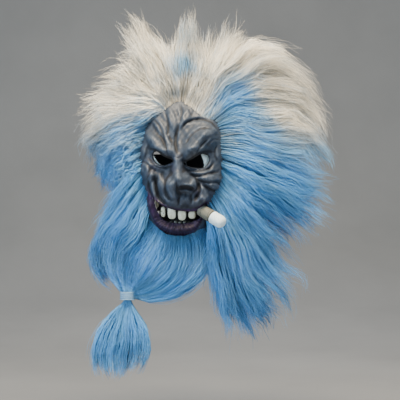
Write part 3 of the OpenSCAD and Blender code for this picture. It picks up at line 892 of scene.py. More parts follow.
cigar = {"at": (34, -95, -78.4), "way": (0.73, -0.527, -0.434), "radius": 10.0, "leaf": 22.0, "back": 3.0,
         "ash": 24.0, "pitch": 15}


def alongCigar(bm):
    turn = Vector(cigar["way"]).to_track_quat("Z", "Y").to_matrix().to_4x4()
    bmesh.ops.transform(bm, matrix=Matrix.Translation(cigar["at"]) @ turn, verts=bm.verts)
    toPart(bm)


def leafMaterial():
    material, tree, place = startMaterial("rolled leaf")
    vein = noiseOf(tree, stretched(tree, place, (1, 1, 3), (0.5, 0.6, 0.4)), 260.0, 6.0, 0.65)
    blotch = noiseOf(tree, place, 90.0, 3.0)
    seam = readAttribute(tree, "seam")
    colour = ramp(tree, vein, [(0.3, (0.065, 0.062, 0.046)), (0.5, (0.13, 0.13, 0.105)),
                               (0.72, (0.20, 0.20, 0.165))])
    colour = mixColour(tree, level(tree, blotch, 0.45, 0.7, 0.0, 0.5), colour, (0.16, 0.155, 0.11, 1))
    colour = mixColour(tree, seam, colour, (0.035, 0.028, 0.018, 1))
    endMaterial(tree, colour, level(tree, vein, 0.3, 0.7, 0.55, 0.78), vein, 0.4, 0.4)
    return material


def ashMaterial():
    material, tree, place = startMaterial("cigar ash")
    crumb = noiseOf(tree, place, 420.0, 6.0, 0.7)
    settled = stretched(tree, place, (0.73, 0.53, -0.43))
    layer = put(tree, "TexWave", {"Vector": settled, "Scale": 150.0, "Distortion": 6.0, "Detail": 3.0})
    colour = ramp(tree, crumb, [(0.24, (0.45, 0.56, 0.60)), (0.40, (0.72, 0.88, 0.93)),
                                (0.7, (0.88, 0.97, 1.0))])
    streak = level(tree, layer.outputs["Fac"], 0.75, 1.0, 0.0, 0.22)
    colour = mixColour(tree, streak, colour, (0.40, 0.44, 0.46, 1))
    colour = mixColour(tree, readAttribute(tree, "seam"), colour, (0.020, 0.020, 0.024, 1))
    endMaterial(tree, colour, level(tree, crumb, 0.3, 0.7, 0.82, 0.97), crumb, 0.7, 0.8)
    return material


def spread(vert, out, more):
    # moves a point outwards from the cigar's axis
    vert.co.x *= (out + more) / out
    vert.co.y *= (out + more) / out


def cigarPiece(bm, name, marks, start, material, slot):
    bmesh.ops.translate(bm, vec=(0, 0, start), verts=bm.verts)
    alongCigar(bm)
    mesh = meshFrom(bm, name)
    paintPoints(mesh, "seam", marks)
    piece = linkPiece(name, mesh, material)
    seat(piece, "cigar", slot, name)
    return piece


def makeLeaf():
    # the spiral edge of the wrapper stands proud, and the end by the ash is burnt
    length = cigar["leaf"] + cigar["back"]
    side = [(9 + k / 24, 0.6 + k / 24 * (length - 0.7)) for k in range(25)]
    bm = lathe([(0, 0), (5, 0), (8.4, 0.1)] + side + [(9.0, length), (0, length)], 72)
    marks = []
    for vert in bm.verts:
        a = math.atan2(vert.co.y, vert.co.x)
        wound = (vert.co.z / cigar["pitch"] - a / (2 * math.pi)) % 1.0
        out = math.hypot(vert.co.x, vert.co.y)
        mark = 0.0
        if out > 8.5:
            spread(vert, out, -0.45 * wound + 0.22 + 0.12 * ripple((a * 3, vert.co.z * 0.5, 0), 1.0, 1))
            mark = math.exp(-((1 - wound) / 0.05) ** 2)
        burnt = vert.co.z - length + 1.6
        if burnt > 0:
            mark = max(mark, min(1.0, burnt / 1.2) * 0.85)
        marks.append(mark)
    cigarPiece(bm, "cigar_leaf", marks, -cigar["back"], leafMaterial(), "leaf")


def makeAsh():
    # crumbling, rounded at its end and dark where it meets the leaf
    r = cigar["radius"]
    tall = cigar["ash"]
    body = [(0, 0), (5, 0), (9.2, 0)] + [(r - 0.35, 0.4 + k) for k in range(int(tall) - 7)]
    body += [(r - 0.6, tall - 6), (r - 1.4, tall - 4), (r - 2.7, tall - 2.2), (r - 4.6, tall - 0.9)]
    body += [(r - 7, tall - 0.2), (0, tall)]
    bm = lathe(body, 64)
    marks = []
    for vert in bm.verts:
        a = math.atan2(vert.co.y, vert.co.x)
        out = math.hypot(vert.co.x, vert.co.y)
        if out > 4 and vert.co.z > 0.1:
            coarse = ripple((math.cos(a) * 6, math.sin(a) * 6, vert.co.z), 0.6, 2)
            spread(vert, out, 0.30 * coarse + 0.16 * ripple(vert.co, 1.7, 4))
        spot = ripple((math.cos(a) * 9, math.sin(a) * 9, vert.co.z), 0.45, 7)
        mark = 0.9 - vert.co.z * 0.7 + 0.3 * spot if vert.co.z < 1.3 else 0.0
        marks.append(max(0.0, min(1.0, mark)))
    roundOff(cigarPiece(bm, "cigar_ash", marks, cigar["leaf"], ashMaterial(), "ash"))


makeLeaf()
makeAsh()
print("cigar made")


# cloth that carries the hair

cloth = {"capWall": 1.4, "seam": 76.0, "tapeLow": 68.0, "tapeHigh": 84.0, "tapeDepth": 5.2, "tapeWall": 0.6,
         "bandWall": 1.0}


def shellSheet(columns, rows, low, high, depthAt):
    bm = clothGrid(columns, rows)
    for vert in bm.verts:
        angle, q = discOf(vert.co.x, vert.co.y)
        vert.co = shellPoint(angle, q, 0)
        vert.co = shellPoint(angle, q, depthAt(vert.co.z))
    trimAt(bm, low, -1)
    if high:
        trimAt(bm, high, 1)
    faceFront(bm, (0, -1, 0.3))
    return bm


def capDepth(z):
    # under the latex up to its top edge, then flush with it
    return 3.5 - 3.0 * smoothStep(min(1.0, max(0.0, (z - 100) / 12)))


def makeCap():
    knit = wovenMaterial("knitted cap", (0.022, 0.022, 0.024), (0.085, 0.085, 0.09), (150, 220))
    bm = shellSheet(90, 130, cloth["seam"], None, capDepth)
    piece = wallPiece(bm, "scalp_cap", knit, cloth["capWall"], "cap_cloth")


def makeTape():
    weave = wovenMaterial("cloth tape", (0.008, 0.008, 0.009), (0.04, 0.04, 0.042), (260, 400), 0.7)
    bm = shellSheet(90, 200, cloth["tapeLow"], cloth["tapeHigh"], lambda z: cloth["tapeDepth"])
    wallPiece(bm, "seam_tape", weave, cloth["tapeWall"], "tape")


makeCap()
makeTape()


def stitchLines(tree, flat, colour):
    # two rows of pale stitches along the band
    split = put(tree, "SeparateXYZ", {0: flat})
    along = maths(tree, "FRACT", maths(tree, "MULTIPLY", split.outputs[0], 46.0))
    dash = maths(tree, "LESS_THAN", along, 0.6)
    fold = maths(tree, "ABSOLUTE", maths(tree, "SUBTRACT", split.outputs[1], 0.5))
    row = maths(tree, "LESS_THAN", maths(tree, "ABSOLUTE", maths(tree, "SUBTRACT", fold, 0.3)), 0.035)
    return mixColour(tree, maths(tree, "MULTIPLY", dash, row), colour, (0.42, 0.42, 0.40, 1))


wefts = {  # from and to in degrees round the shell, and how far out the band's two edges are
    "crown_weft": (52, 128, 0.86, 0.92), "left_weft": (132, 228, 0.86, 0.91),
    "right_weft": (-68, 48, 0.86, 0.91), "beard_weft": (234, 288, 0.86, 0.92),
}
weftCloth = wovenMaterial("weft band", (0.06, 0.06, 0.065), (0.21, 0.21, 0.22), (220, 12), 0.85, stitchLines)


def makeWeft(name, from0, to0, q0, q1):
    bm = clothGrid(80, 6)
    for vert in bm.verts:
        f = (vert.co.x + 1) / 2
        g = (vert.co.y + 1) / 2
        pleat = 0.18 * math.sin(f * 180)
        vert.co = shellPoint(math.radians(from0 + (to0 - from0) * f), q0 + (q1 - q0) * g, -1.45 - pleat)
    middle = shellPoint(math.radians((from0 + to0) / 2), 0.9, 0)
    faceFront(bm, middle - Vector((3, 0, -10)))
    wallPiece(bm, name, weftCloth, cloth["bandWall"], "weft_cloth")


for name, span in wefts.items():
    makeWeft(name, *span)
print("cap and wefts made")


# hanging tab and strap

tab = {"width": 30.0, "wall": 2.3, "low": -38.0, "high": 14.0, "hole": 5.25, "face": 1.25}


def stitchRow(bm, points, length, thick=0.45):
    # one small thread loop for each stitch: start point, direction along it and outward
    for place, way, out in points:
        made = bmesh.ops.create_icosphere(bm, subdivisions=1, radius=1)["verts"]
        side = Vector(way).cross(Vector(out))
        turn = Matrix((Vector(way) * length / 2, side * thick, Vector(out) * thick)).transposed().to_4x4()
        bmesh.ops.transform(bm, matrix=Matrix.Translation(place) @ turn, verts=made)


def threadMaterial(name, dark, light):
    material, tree, place = startMaterial(name)
    twist = noiseOf(tree, place, 1500.0, 3.0)
    colour = ramp(tree, twist, [(0.3, dark), (0.7, light)])
    endMaterial(tree, colour, level(tree, twist, 0.3, 0.7, 0.6, 0.8), twist, 0.4, 0.2)
    return material


threadPaint = threadMaterial("waxed thread", (0.20, 0.19, 0.17), (0.42, 0.40, 0.36))


def stitchPiece(name, rows, length, slot, rise=eyeLevel):
    bm = bmesh.new()
    stitchRow(bm, rows, length)
    toPart(bm, rise)
    bmesh.ops.recalc_face_normals(bm, faces=bm.faces)
    seat(linkPiece(name, meshFrom(bm, name), threadPaint), "mask", slot)


def makeTab():
    bm = clothGrid(40, 70)
    half = tab["width"] / 2
    middle = (tab["low"] + tab["high"]) / 2
    tall = (tab["high"] - tab["low"]) / 2
    for vert in bm.verts:
        a, b = vert.co.x, vert.co.y
        corner = max(0.0, abs(b) - 0.86) / 0.14
        vert.co = (a * half * (1 - 0.05 * corner ** 2), 0, middle + b * tall)
    cutOpening(bm, ringOf(tab["hole"], 48), 0.8)
    for vert in bm.verts:
        edge = max(0.0, abs(vert.co.x) / half - 0.8) / 0.2
        vert.co.y = 0.12 * edge
    faceFront(bm, (0, -1, 0))
    webbing = wovenMaterial("webbing", (0.010, 0.010, 0.011), (0.055, 0.055, 0.058), (26, 48), 0.72)
    wallPiece(bm, "hang_tab", webbing, tab["wall"], "webbing", 0, 0)


def makeTabStitching():
    # a box with a cross in it, on both sides of the tab
    rows = []
    for side in (-1, 1):
        y = side * tab["face"]
        out = (0, side, 0)
        rows += [((-12 + 4 * k, y, z), (1, 0, 0), out) for k in range(7) for z in (-15, -35)]
        for k in range(5):
            rows += [((x, y, -32 + 4 * k), (0, 0, 1), out) for x in (-13, 13)]
            rows += [((way * (k - 2) * 5.2, y, -33 + 4 * k), (way * 0.79, 0, 0.61), out) for way in (1, -1)]
    stitchPiece("tab_stitching", rows, 2.4, "webbing", 0)


makeTab()
makeTabStitching()

strap = {"width": 25.0, "wall": 1.5, "back": -8.0, "reach": 81.0, "fold": 18.0, "bend": 3.0}


def ribMaterial():
    material, tree, place = startMaterial("ribbed elastic")
    flat = put(tree, "UVMap").outputs[0]
    waves = [put(tree, "TexWave", {"Vector": stretched(tree, flat, scale), "Scale": 0.5}, bands_direction=way)
             for way, scale in (("Y", (1, 20, 1)), ("X", (190, 1, 1)))]
    worn = noiseOf(tree, place, 70.0, 4.0)
    cross = maths(tree, "MULTIPLY", waves[1].outputs["Fac"], 0.4)
    height = maths(tree, "ADD", waves[0].outputs["Fac"], cross)
    tint = maths(tree, "MULTIPLY", height, level(tree, worn, 0.3, 0.7, 0.55, 0.9))
    colour = ramp(tree, tint, [(0.1, (0.004, 0.004, 0.005)), (1.0, (0.035, 0.035, 0.037))])
    endMaterial(tree, colour, level(tree, worn, 0.3, 0.7, 0.75, 0.9), height, 0.6, 0.4, Sheen_Weight=0.15)
    return material


def makeStrap():
    half = strap["reach"] - strap["wall"] / 2
    back = strap["back"] - strap["wall"] / 2
    r = strap["bend"]
    x0 = shell["middleX"]
    left = [(x0 - half, strap["back"] - strap["fold"]), (x0 - half, back - r)]
    left += [(x0 - half + r - r * math.cos(a), back - r + r * math.sin(a))
             for a in np.linspace(0.3, math.pi / 2, 5)]
    route = left + [(2 * x0 - x, y) for x, y in reversed(left)]
    line = smoothLine(route, 241)
    # straighten the long run, which the smoothing would bow
    line[:, 1] = np.minimum(line[:, 1], back)
    bm = clothGrid(240, 10)
    for vert in bm.verts:
        place = (vert.co.x + 1) / 2 * 240
        i = min(int(place + 0.001), 239)
        spot = line[i] + (line[i + 1] - line[i]) * (place - i)
        vert.co = (spot[0], spot[1], vert.co.y * strap["width"] / 2)
    faceFront(bm, (0, 1, 0))
    wallPiece(bm, "head_strap", ribMaterial(), strap["wall"], "elastic", 0)


def makeStrapStitching():
    y = strap["back"] + 0.05
    rows = [((shell["middleX"] + side * off, y, -9.6 + 2.4 * k), (lean, 0, 0.95), (0, 1, 0))
            for side in (-1, 1) for k in range(9) for off, lean in ((66, 0.3), (70, -0.3))]
    stitchPiece("strap_stitching", rows, 2.6, "elastic")


makeStrap()
makeStrapStitching()
print("tab and strap made")


# beard tie

tie = {"x": -83.0, "y": -61.0, "top": -206.0, "tall": 13.0, "radius": 10.6, "turns": 6}


def makeTie():
    pitch = tie["tall"] / tie["turns"]
    outer = []
    for k in range(tie["turns"] * 6 + 1):
        f = k / 6
        outer.append((tie["radius"] + 0.5 + 1.35 * abs(math.sin(math.pi * f)), -tie["tall"] + f * pitch))
    inner = [(tie["radius"], 0.0), (tie["radius"], -tie["tall"])]
    profile = outer + inner + [outer[0]]
    bm = lathe(profile, 64)
    for vert in bm.verts:
        a = math.atan2(vert.co.y, vert.co.x)
        vert.co.z += 0.5 * math.sin(a + vert.co.z) + 0.25 * math.sin(3 * a)
    bmesh.ops.translate(bm, vec=(tie["x"], tie["y"], tie["top"]), verts=bm.verts)
    toPart(bm)
    piece = linkPiece("beard_tie", meshFrom(bm, "beard_tie"),
                      threadMaterial("wound hair band", (0.10, 0.25, 0.42), (0.30, 0.48, 0.66)))
    seat(piece, "beard", "tie_band", "beard_tie")


makeTie()


# finishes for the pieces that keep their first shape

def metalMaterial(name, colour, worn, rough):
    material, tree, place = startMaterial(name)
    scratch = noiseOf(tree, stretched(tree, place, (1, 6, 1)), 500.0, 5.0, 0.65)
    blotch = noiseOf(tree, place, 220.0, 4.0)
    tone = ramp(tree, blotch, [(0.35, worn), (0.65, colour)])
    dull = level(tree, scratch, 0.3, 0.7, rough, rough + 0.2)
    endMaterial(tree, tone, dull, scratch, 0.15, 0.15, Metallic=1.0)
    return material


def plainMaterial(name, dark, light, rough, scale, grain, strength):
    material, tree, place = startMaterial(name)
    blotch = noiseOf(tree, place, scale, 4.0)
    fine = noiseOf(tree, stretched(tree, place, grain), scale * 5, 5.0, 0.6)
    both = maths(tree, "ADD", maths(tree, "MULTIPLY", blotch, 0.5), maths(tree, "MULTIPLY", fine, 0.5))
    tone = ramp(tree, both, [(0.35, dark), (0.65, light)])
    endMaterial(tree, tone, level(tree, fine, 0.3, 0.7, rough - 0.08, rough + 0.1), fine, strength, 0.3)
    return material


keptFinishes = {
    "gum_plate": plainMaterial("dark gum", (0.010, 0.004, 0.007), (0.035, 0.012, 0.020), 0.30, 120.0,
                               (1, 1, 1), 0.3),
    "cigar_peg": plainMaterial("turned wood", (0.34, 0.22, 0.11), (0.56, 0.41, 0.24), 0.55, 90.0,
                               (2.2, 2.2, 0.4), 0.3),
    "hang_eyelet": metalMaterial("brass", (0.78, 0.56, 0.24), (0.50, 0.34, 0.14), 0.24),
    "strap_rivets": metalMaterial("rivet steel", (0.62, 0.62, 0.63), (0.38, 0.38, 0.40), 0.25),
    "strap_washers": metalMaterial("washer steel", (0.58, 0.58, 0.60), (0.34, 0.34, 0.36), 0.32),
    "strap_slider": plainMaterial("moulded plastic", (0.006, 0.006, 0.007), (0.014, 0.014, 0.015), 0.40,
                                  200.0, (1, 1, 1), 0.25),
}

for name, material in keptFinishes.items():
    data = bpy.data.objects[name].data
    data.materials.clear()
    data.materials.append(material)
print("kept pieces finished")


# hair

# where the hair is bluer or paler: x, z, radius, change of tone
bluePatches = [
    (86, 98, 36, 0.85), (7, 148, 20, 0.66), (12, 205, 24, 0.34), (-56, 56, 26, 0.42), (-100, 44, 22, 0.22),
    (64, 62, 26, 0.30), (120, 66, 30, 0.25), (130, 30, 44, 0.22), (216, 76, 40, -0.16),
    (176, 110, 40, -0.16), (-140, 60, 36, -0.12), (-64, 92, 24, -0.16), (16, 100, 22, -0.14),
    (40, 112, 18, -0.10), (228, 10, 40, 0.12),
]


def blueTone(x, z):
    # 0 is the palest, 1 is the full blue; paler towards the top and bluer towards the bottom
    tone = smoothStep(np.clip((104 - z) / 150, 0, 1))
    tone = tone - 0.14 * np.clip((x - 120) / 80, 0, 1) * np.clip((z + 60) / 100, 0, 1)
    for px, pz, radius, change in bluePatches:
        tone = tone + change * np.exp(-((x - px) ** 2 + (z - pz) ** 2) / radius ** 2)
    return np.clip(tone, 0, 1)


def hairMaterial(name):
    material, tree, place = startMaterial(name)
    tone = readAttribute(tree, "tone")
    shade = readAttribute(tree, "shade")
    patch = noiseOf(tree, place, 45.0, 3.0)
    fibre = noiseOf(tree, stretched(tree, place, (1, 1, 0.3)), 700.0, 2.0)
    blueness = maths(tree, "ADD", tone, level(tree, patch, 0.3, 0.7, -0.10, 0.10))
    colour = ramp(tree, blueness, [(0.0, (0.88, 0.82, 0.70)), (0.25, (0.62, 0.69, 0.74)),
                              (0.5, (0.31, 0.51, 0.72)),
                              (0.75, (0.165, 0.43, 0.74)), (1.0, (0.105, 0.375, 0.75))])
    bright = maths(tree, "MULTIPLY", shade, level(tree, fibre, 0.3, 0.7, 0.86, 1.12))
    grey = put(tree, "CombineColor", {0: bright, 1: bright, 2: bright}).outputs[0]
    colour = mixColour(tree, 1.0, colour, grey, "MULTIPLY")
    rough = level(tree, fibre, 0.3, 0.7, 0.42, 0.62)
    endMaterial(tree, colour, rough, fibre, 0.2, 0.15, Specular_IOR_Level=0.22, Sheen_Weight=0.05,
                Sheen_Roughness=0.4)
    return material


hairPaint = {slot: hairMaterial(slot.replace("_", " ")) for slot in ("hair_white", "hair_pale", "hair_blue")}


def makeProfile():
    # the three-sided cross section that every hair shares
    curve = bpy.data.curves.new("hair section", "CURVE")
    spline = curve.splines.new("POLY")
    spline.points.add(2)
    for k in range(3):
        a = math.radians(90 + 120 * k)
        spline.points[k].co = (mm * math.cos(a), mm * math.sin(a), 0, 1)
    spline.use_cyclic_u = True
    section = bpy.data.objects.new("hair section", curve)
    scene.collection.objects.link(section)
    return section


hairSection = makeProfile()


def strandMesh(name, paths, radii, tone, shade):
    # paths is hairs x points x 3 in metres; the other arrays are hairs x points
    curve = bpy.data.curves.new(name, "CURVE")
    curve.dimensions = "3D"
    curve.twist_mode = "MINIMUM"
    curve.bevel_mode = "OBJECT"
    curve.bevel_object = hairSection
    curve.use_fill_caps = True
    hairs, points = radii.shape
    full = np.ones((hairs, points, 4), np.float32)
    full[:, :, :3] = paths
    for i in range(hairs):
        spline = curve.splines.new("POLY")
        spline.points.add(points - 1)
        spline.points.foreach_set("co", full[i].ravel())
        spline.points.foreach_set("radius", radii[i].astype(np.float32))
    holder = bpy.data.objects.new(name + " curve", curve)
    scene.collection.objects.link(holder)
    graph = bpy.context.evaluated_depsgraph_get()
    mesh = bpy.data.meshes.new_from_object(holder.evaluated_get(graph))
    mesh.name = name
    bpy.data.objects.remove(holder)
    # the end caps come first, last hair first, and are then joined to the hairs
    for key, values in (("tone", tone), ("shade", shade)):
        caps = values[::-1][:, [-1, 0]].ravel()
        paintPoints(mesh, key, np.repeat(np.concatenate([caps, values.ravel()]), 3))
    bm = bmesh.new()
    bm.from_mesh(mesh)
    bmesh.ops.remove_doubles(bm, verts=bm.verts, dist=1e-7)
    bm.to_mesh(mesh)
    bm.free()
    mesh.polygons.foreach_set("use_smooth", [True] * len(mesh.polygons))
    return mesh


hairStyle = {
    # what any lock may change
    "hairs": 1000, "clumps": 44, "points": 11, "pull": 0.34, "wave": 1.4, "waveLength": 34, "frizz": 4.6,
    "stray": 0.21, "thick": 0.42, "shortest": 0.66, "flow": 9.0, "pinned": False, "overlap": 0.22, "dim": 1.0,
}
guideSteps = 39          # pieces that each guide curve is cut into


def swirl(x, z, reach, seed):
    # a smooth wandering value between -1 and 1
    u = x / reach
    v = z / reach
    first = np.sin(2.1 * u + 1.7 * np.sin(1.3 * v + seed) + seed)
    return (first + np.sin(1.9 * v + 1.3 * np.sin(1.1 * u + 2 * seed) + 3 * seed)) / 2


def hangingPath(base, run, d, depth):
    # a lock whose guides also say how far forward it hangs; it stays in front of the face
    x, y, z = base[:, :, 0], base[:, :, 1], base[:, :, 2]
    y = y - (d - 0.5) * 2 * np.interp(run, [0, 0.5, 1], depth)
    overFace = reachOf(x, z) < 1
    ground = np.where(overFace, skinHeight(x, z), 0)
    return np.stack([x, np.minimum(y, -(ground + 1.0) * overFace), z], axis=2)


# how far in front of the rim the mane's outer and inner hairs lie, near the face and at the tips;
# rise is the part of a hair's length over which it lifts off the face
maneBody = {"front": 91, "frontTip": 21, "back": 26, "backTip": 8, "rise": 0.14}


def manePath(base, tips, run, rootAt, d):
    # a lock that rises from the shell and thins towards its tips
    x, z = base[:, :, 0], base[:, :, 1]
    q = reachOf(x, z)
    tip = float(np.mean(reachOf(tips[:, 0], tips[:, 1])))
    s = np.clip((q - 1.1) / (tip - 1.1), 0, 1)
    front = maneBody["front"] + (maneBody["frontTip"] - maneBody["front"]) * s ** 1.4
    back = maneBody["back"] + (maneBody["backTip"] - maneBody["back"]) * s
    ground = skinHeight(x, z) * (q < 1)
    lie = np.maximum(back + (front - back) * d, ground + 2.5)
    start = ground[:, :1] + 0.8
    ease = smoothStep(np.clip((run - rootAt[:, None]) / maneBody["rise"], 0, 1))
    y = -np.maximum(start * (1 - ease) + lie * ease, ground + 0.8)
    for turn in range(2):
        y[:, 1:-1] = 0.25 * y[:, :-2] + 0.5 * y[:, 1:-1] + 0.25 * y[:, 2:]
    return np.stack([x, y, z], axis=2)


def wanderTogether(path, t, layer, style):
    # neighbouring hairs bend the same way
    x = path[:, :, 0].copy()
    z = path[:, :, 2].copy()
    grow = np.sin(math.pi * t) * 0.6 if style["pinned"] else np.clip(t * 1.4, 0, 1)
    for axis, share in enumerate((1.0, 0.6, 1.0)):
        bend = swirl(x + layer, z, 62, 1 + axis) + 0.35 * swirl(x, z + 3 * layer, 21, 4 + axis)
        path[:, :, axis] += share * style["flow"] * grow * bend


def crimp(path, t, style, clump, stray, rng):
    # waves, drift and frizz that grow towards the tips
    hairs = len(path)
    step = np.linalg.norm(np.diff(path, axis=1), axis=2)
    along = np.concatenate([np.zeros((hairs, 1)), np.cumsum(step, axis=1)], axis=1)
    free = np.clip(t * 3, 0, 1)
    own = rng.uniform(0, 2 * math.pi, (hairs, 3))
    length = style["waveLength"] * rng.uniform(0.85, 1.15, style["clumps"])[clump["of"]][:, None]
    loose = np.sin(math.pi * t) if style["pinned"] else t
    for axis in range(3):
        ownPhase = own[:, axis][:, None]
        phase = clump["phase"][clump["of"], axis][:, None] + 0.6 * np.sin(ownPhase)
        path[:, :, axis] += style["wave"] * free * np.sin(2 * math.pi * along / length + phase)
        path[:, :, axis] += clump["drift"][clump["of"], axis][:, None] * style["frizz"] * 0.9 * loose ** 1.5
        bend = np.sin(t * rng.uniform(2, 8, hairs)[:, None] + ownPhase) - np.sin(ownPhase)
        wild = np.where(stray, 2.4, 1.0)[:, None] * style["frizz"] * rng.uniform(0.3, 1, hairs)[:, None]
        path[:, :, axis] += bend * wild * loose


def keepClear(path):
    # no hair goes into the face or behind the mask
    x, z = path[:, :, 0], path[:, :, 2]
    ground = skinHeight(x, z) * (reachOf(x, z) < 1)
    y = np.where(ground > 0, np.minimum(path[:, :, 1], -(ground + 0.6)), path[:, :, 1])
    path[:, :, 1] = np.minimum(y, -1.0)


def growLock(name, guides, slot, seed, depth=None, **changes):
    style = {**hairStyle, **changes}
    rng = np.random.default_rng(seed)
    hairs = style["hairs"]
    clumps = style["clumps"]
    lines = np.array([smoothLine(guide, guideSteps + 1) for guide in guides])
    # hairs gather loosely in clumps; most of them lie in the outer layers
    clumpU = (np.arange(clumps) + rng.uniform(0, 1, clumps)) / clumps
    clumpD = 1 - rng.uniform(0, 1, clumps) ** 1.35
    clumpEnd = rng.uniform(style["shortest"], 1.0, clumps)
    clump = {"phase": rng.uniform(0, 2 * math.pi, (clumps, 3)), "drift": rng.normal(0, 1, (clumps, 3))}
    mine = clump["of"] = rng.integers(0, clumps, hairs)
    stray = rng.uniform(0, 1, hairs) < style["stray"]
    u0 = clumpU[mine] + rng.normal(0, 1.6 / clumps, hairs)
    d0 = np.clip(clumpD[mine] + rng.normal(0, 0.12, hairs), 0, 1)
    u0 = np.where(stray, rng.uniform(0, 1, hairs), u0)
    # a lock reaches a little over its neighbours on both sides
    wider = 1 + 2 * style["overlap"]
    u0 = np.abs(np.mod(u0 + 1, 2) - 1) * wider - style["overlap"]
    clumpU = clumpU * wider - style["overlap"]
    t = np.linspace(0, 1, style["points"])[None, :]
    gather = style["pull"] * np.where(stray, 0.1, 1.0)[:, None] * t ** 1.3
    u = u0[:, None] * (1 - gather) + clumpU[mine][:, None] * gather
    d = d0[:, None] * (1 - gather) + clumpD[mine][:, None] * gather
    end = clumpEnd[mine] * rng.uniform(0.96 if style["pinned"] else 0.8, 1.0, hairs)
    # find where the guides leave the shell, so that deep hairs start lower on its side
    rootAt = np.zeros(hairs)
    if depth is None:
        over = reachOf(lines[:, :, 0], lines[:, :, 1]) < 0.96
        leave = float(np.mean(np.argmin(over, axis=1))) / guideSteps
        rootAt = np.clip((1 - d0) * leave * 0.9 + rng.uniform(0, 0.03, hairs), 0, 0.6)
    run = rootAt[:, None] + (np.maximum(end, rootAt + 0.3) - rootAt)[:, None] * t
    run = np.clip(run, 0, 1)
    # each hair runs between the two guides beside it
    gu = u * (len(guides) - 1)
    gi = np.clip(np.floor(gu).astype(int), 0, len(guides) - 2)
    gf = (gu - gi)[:, :, None]
    ri = np.minimum((run * guideSteps).astype(int), guideSteps - 1)
    rf = (run * guideSteps - ri)[:, :, None]
    beside = [lines[g, ri] * (1 - rf) + lines[g, ri + 1] * rf for g in (gi, gi + 1)]
    base = beside[0] * (1 - gf) + beside[1] * gf
    if depth is None:
        path = manePath(base, lines[:, -1], run, rootAt, d)
    else:
        path = hangingPath(base, run, d, depth)
    layer = 6 * d
    wanderTogether(path, t, layer, style)
    crimp(path, t, style, clump, stray, rng)
    keepClear(path)
    # the under layer is thicker, and painted darker as shade, so that nothing shows through
    under = np.clip((0.5 - d0) / 0.4, 0, 1)[:, None]
    radii = style["thick"] * rng.uniform(0.7, 1.3, hairs)[:, None] * (1 - 0.82 * t ** 2.0) * (1 + 1.5 * under)
    radii = radii * np.where(stray, 0.7, 1.0)[:, None]
    x, z = path[:, :, 0], path[:, :, 2]
    tone = blueTone(x, z) + rng.normal(0, 0.06, clumps)[mine][:, None]
    tone = tone + rng.normal(0, 0.06, hairs)[:, None] - 0.12 * stray[:, None]
    # painted shade: darker at the roots, in the deep layers and in soft patches along the locks, with a
    # random tone for each hair and clump
    shade = rng.normal(1.0, 0.15, hairs)[:, None] * (0.50 + 0.50 * np.clip(t * 4, 0, 1))
    shade = shade * (1 + 0.20 * swirl(x + 4 * layer, z, 26, 9))
    shade = shade * rng.normal(1.0, 0.07, clumps)[mine][:, None]
    shade = np.clip(style["dim"] * shade * (0.80 + 0.25 * d) * (1 - 0.25 * under), 0.3, 1.25)
    path[:, :, 2] += eyeLevel / mm
    mesh = strandMesh(name, path * mm, radii, np.clip(tone, 0, 1), shade)
    return linkPiece(name + "_hair", mesh, hairPaint[slot])


